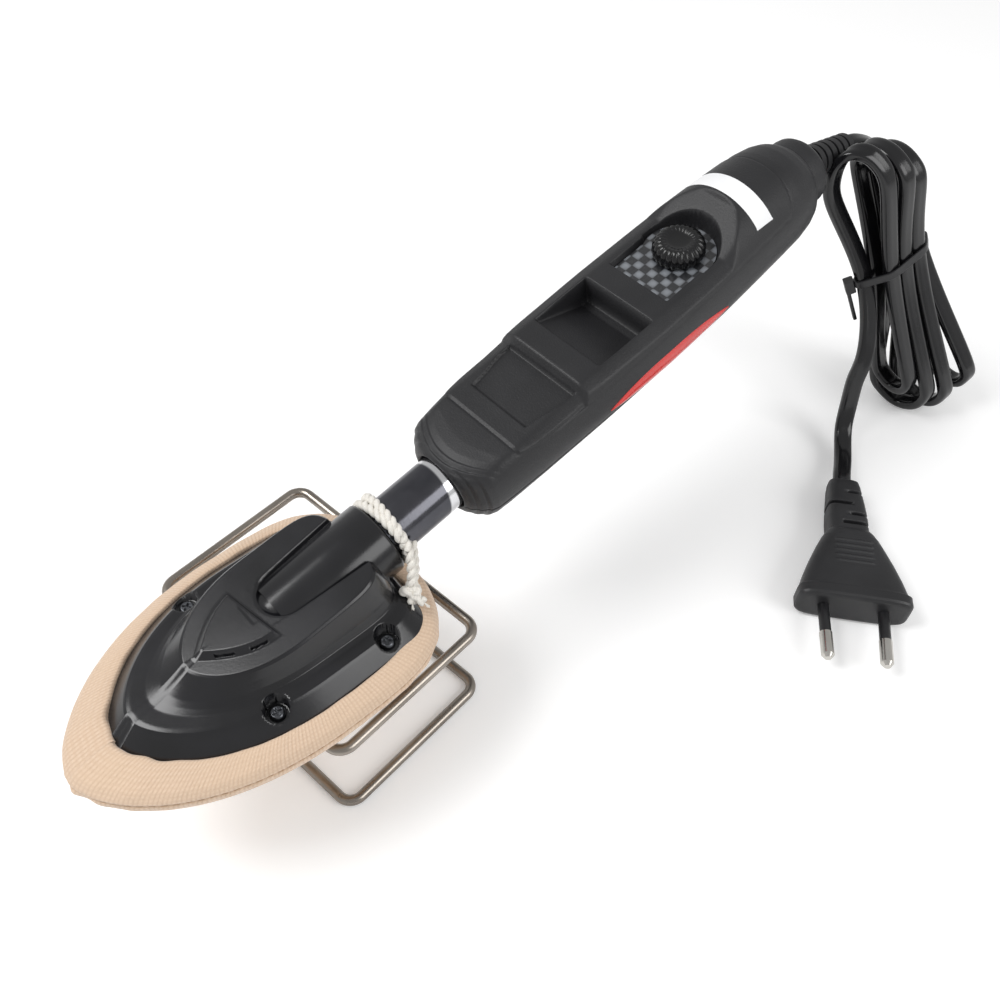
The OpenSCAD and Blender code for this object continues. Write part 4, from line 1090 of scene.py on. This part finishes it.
INSERT_FRONT, INSERT_REAR, INSERT_HALF, INSERT_N = 46.0, 95.0, 3.9, 0.75
LABEL_FRONT, LABEL_REAR, LABEL_HALF = 110.9, 118.0, 13.6


def make_insert(side):
    """Lens of half height 3.9 (1 - |u|^2.6) on the shell, with a crest -0.14 + 0.75 (1 - |v|^2.2)."""
    u = np.linspace(-1, 1, 121)[:, None]
    v = np.linspace(-1, 1, 25)[None, :]
    s = (INSERT_FRONT + INSERT_REAR) / 2 + u * (INSERT_REAR - INSERT_FRONT) / 2 + 0 * v
    n = INSERT_N + v * (INSERT_HALF * (1 - np.abs(u) ** 2.6) + 0.05)
    r, c = table_at(RADII, s), table_at(CENTRES, s)
    lift = (-0.14 + 0.75 * (1 - np.abs(v) ** 2.2)) * (1 - 0.6 * np.abs(u) ** 6)
    turn = np.arcsin(np.clip((n - c) / r, -1, 1))
    points = on_handle(s, side * (r + lift) * np.cos(turn), c + (r + lift) * np.sin(turn))
    name = "left" if side > 0 else "right"
    piece_from(
        "red_insert_" + name, points.reshape(-1, 3), [grid_faces(121, 25, flip=side < 0)], "iron", RED,
        ("grip_insert_" + name,),
    )


def make_label():
    """Strip over the shell's skin, 0.37 mm above it and thinned to 0.23 at its edges."""
    s = np.linspace(LABEL_FRONT, LABEL_REAR, 30)[:, None] + np.zeros((1, 90))
    y = np.linspace(LABEL_HALF, -LABEL_HALF, 90)[None, :] + np.zeros((30, 1))
    edge = np.minimum(np.minimum(s - LABEL_FRONT, LABEL_REAR - s), LABEL_HALF - np.abs(y))
    points = on_handle(s, y, skin_n(s, y) + 0.23 + 0.14 * step_up(edge, -0.05, 0.25))
    piece_from(
        "blank_label", points.reshape(-1, 3), [grid_faces(30, 90)], "iron", LABEL, ("label_sticker",),
    )


make_insert(1)
make_insert(-1)
make_label()

# Knob

KNOB_RIBS = 24
# Height, radius, rib; the dish stays above the shaft's end at 3.9
KNOB_PROFILE = [
    [0, 6.9, 0.3], [0.2, 7.3, 0.4], [1.6, 7.5, 0.5], [3.2, 7.1, 0.55], [4.3, 6.3, 0.55], [4.9, 5.4, 0.5],
    [5.0, 4.8, 0.42], [4.85, 4.2, 0.28], [4.6, 3.6, 0.1], [4.35, 3.0, 0], [4.18, 2, 0], [4.12, 1, 0],
    [4.1, 0.05, 0],
]


def make_knob():
    """Ribbed dome with a dish: r = profile + rib * (|cos(12 a)|^0.7 - 0.6)."""
    columns = KNOB_RIBS * 14
    profile, _ = smooth_line(KNOB_PROFILE, 0.22)
    a = circle(columns)
    radius = profile[:, 1:2] + profile[:, 2:3] * (np.abs(np.cos(KNOB_RIBS * a / 2)) ** 0.7 - 0.6)
    height = FASCIA_N + 0.3 + profile[:, :1]
    points = on_handle(KNOB_S + radius * np.cos(a), radius * np.sin(a), height)
    piece_from(
        "ribbed_knob", points.reshape(-1, 3), [grid_faces(len(profile), columns, closed=True)], "knob",
        ACETAL, ("control_knob",),
    )


make_knob()

# Drawstring

STRING_S = -21.0
KNOT = np.array([26, -16.4, 50.8])
FALLS = np.array([
    [(30.4, -9.2, 60.4), (29.4, -12.2, 57.6), (27.4, -15, 54), (26, -16.4, 50.8), (24.4, -18.6, 49)],
    [(32.6, -9.2, 58.4), (31, -11.8, 55), (28.6, -14.4, 52.4), (26, -16.4, 50.8), (26.6, -20.6, 49.4)],
])
STRAND_R, APART, TWIST = 0.78, 0.56, 4.6
FACING = np.array([0.31, 0.2, 0.93])


def tube_frames(line):
    """Broad axis and rise at each point of a line: facing x along, then along x broad axis."""
    along = unit(np.gradient(line, axis=0))
    wide = unit(np.cross(FACING, along))
    return wide, np.cross(along, wide)


def ply(line, strand_r, apart, twist, steps=10):
    """Two strands wound round a line: each is off by apart, turning once a twist."""
    wide, rise = tube_frames(line)
    turn = 2 * math.pi * reach_along(line)[:, None] / twist
    a = circle(steps)
    outline = strand_r * np.stack([np.cos(a), np.sin(a)], 1)
    strands = []
    for start in (0, math.pi):
        strand = line + apart * (np.cos(turn + start) * wide + np.sin(turn + start) * rise)
        tube = swept(strand, *tube_frames(strand), outline)
        strands.append(capped(tube, grid_faces(len(line), steps, closed=True), len(line), steps))
    return join(strands)


def make_string():
    """Two turns round the tube, two falls, a trefoil for the overhand knot and frayed ends.

    The trefoil is (sin t/2 + 2 sin t, cos t/2 - 2 cos t, -sin 3t/2); a hair is a parabola.
    """
    a = np.linspace(0, 2 * math.pi, 181)
    ring_r = TUBE_R + 1.3 + 0.25 * np.sin(3 * a)
    parts = []
    for lean in (-0.9, 0.9):
        loop = handle_mm(STRING_S + lean + 0.8 * np.sin(a + lean), ring_r * np.cos(a), ring_r * np.sin(a))
        parts.append(ply(loop, STRAND_R, APART, TWIST))
    for fall in FALLS:
        parts.append(ply(smooth_line(fall, 0.35)[0], STRAND_R, APART, TWIST))
    t = np.linspace(0, 4 * math.pi, 160)
    trefoil = np.stack([np.sin(t / 2) + 2 * np.sin(t), np.cos(t / 2) - 2 * np.cos(t), -np.sin(1.5 * t)], 1)
    parts.append(ply(KNOT + 1.25 * 0.55 * trefoil, 0.74, 0.5, TWIST))
    d = np.linspace(-0.4, 1.7, 7)[:, None]
    for fall in FALLS:
        away = unit(fall[-1] - fall[-2])
        for k in range(7):
            lean = 0.28 * np.array([math.cos(2.4 * k), math.sin(2.4 * k), 0.4 * math.sin(5.1 * k)])
            parts.append(ply(fall[-1] + away * d + lean * d * d * 0.5, 0.11, 0.06, 2.0, 5))
    verts, faces = join(parts)
    cotton = cotton_material()
    piece_from("cotton_drawstring", at_row(verts), faces, "iron", cotton, ("drawstring",))


make_string()
make_cord()

# Floor and light

FLOOR_LIFT = 0.16
SKY = 0.52


def make_stage():
    """Pale floor lifted to white for the camera, and an even sky, white for the camera.

    Sky strength: SKY for the lighting, 0.6 at the horizon to 0.5 higher up in the gloss.
    """
    bpy.ops.mesh.primitive_plane_add(size=8, location=(0, 0, 0))
    floor = bpy.context.object
    floor.name = "floor"
    material, tree, shader, _ = base_material("pale_paper_floor", {
        "Base Color": colour("#fbfbfb"), "Roughness": 0.9, "Specular IOR Level": 0.1,
        "Emission Color": (1, 1, 1, 1),
    })
    camera_ray = add(tree, "LightPath", {}, "Is Camera Ray")
    lift = add(tree, "Math", {0: camera_ray, 1: FLOOR_LIFT}, operation="MULTIPLY")
    fill(tree, shader, {"Emission Strength": lift})
    floor.data.materials.append(material)
    world = bpy.data.worlds.new("studio")
    bpy.context.scene.world = world
    world.use_nodes = True
    tree = world.node_tree
    space = tree.nodes.new("ShaderNodeTexCoord").outputs
    height = add(tree, "SeparateXYZ", {"Vector": space["Generated"]}, "Z")
    dim = add(tree, "MapRange", {"Value": height, "From Max": 0.75, "To Min": 0.6, "To Max": 0.5})
    ray = add(tree, "LightPath", {}).node.outputs
    in_gloss = add(tree, "Math", {0: ray["Is Glossy Ray"], 1: dim}, operation="MULTIPLY")
    other = add(tree, "Math", {0: 1.0, 1: ray["Is Glossy Ray"]}, operation="SUBTRACT")
    plain = add(tree, "Math", {0: other, 1: SKY, 2: in_gloss}, operation="MULTIPLY_ADD")
    total = add(tree, "Math", {0: ray["Is Camera Ray"], 1: 1.0 - SKY, 2: plain}, operation="MULTIPLY_ADD")
    fill(tree, tree.nodes["Background"], {"Strength": total, "Color": (1, 1, 1, 1)})


def lamp(name, place, aim, size, power):
    """Square soft lamp that shines from its place to its aim."""
    data = bpy.data.lights.new(name, "AREA")
    data.size = size
    data.energy = power
    obj = bpy.data.objects.new(name, data)
    bpy.context.scene.collection.objects.link(obj)
    obj.rotation_euler = (Vector(place) - Vector(aim)).to_track_quat("Z", "Y").to_euler()
    obj.location = place


bpy.context.scene.view_settings.view_transform = "Standard"
make_stage()
lamp("key_softbox", (-0.45, 0.35, 0.75), (0, 0, 0.03), 0.45, 5.0)
lamp("fill_softbox", (0.25, -0.7, 0.55), (0, 0, 0.03), 0.5, 2.8)
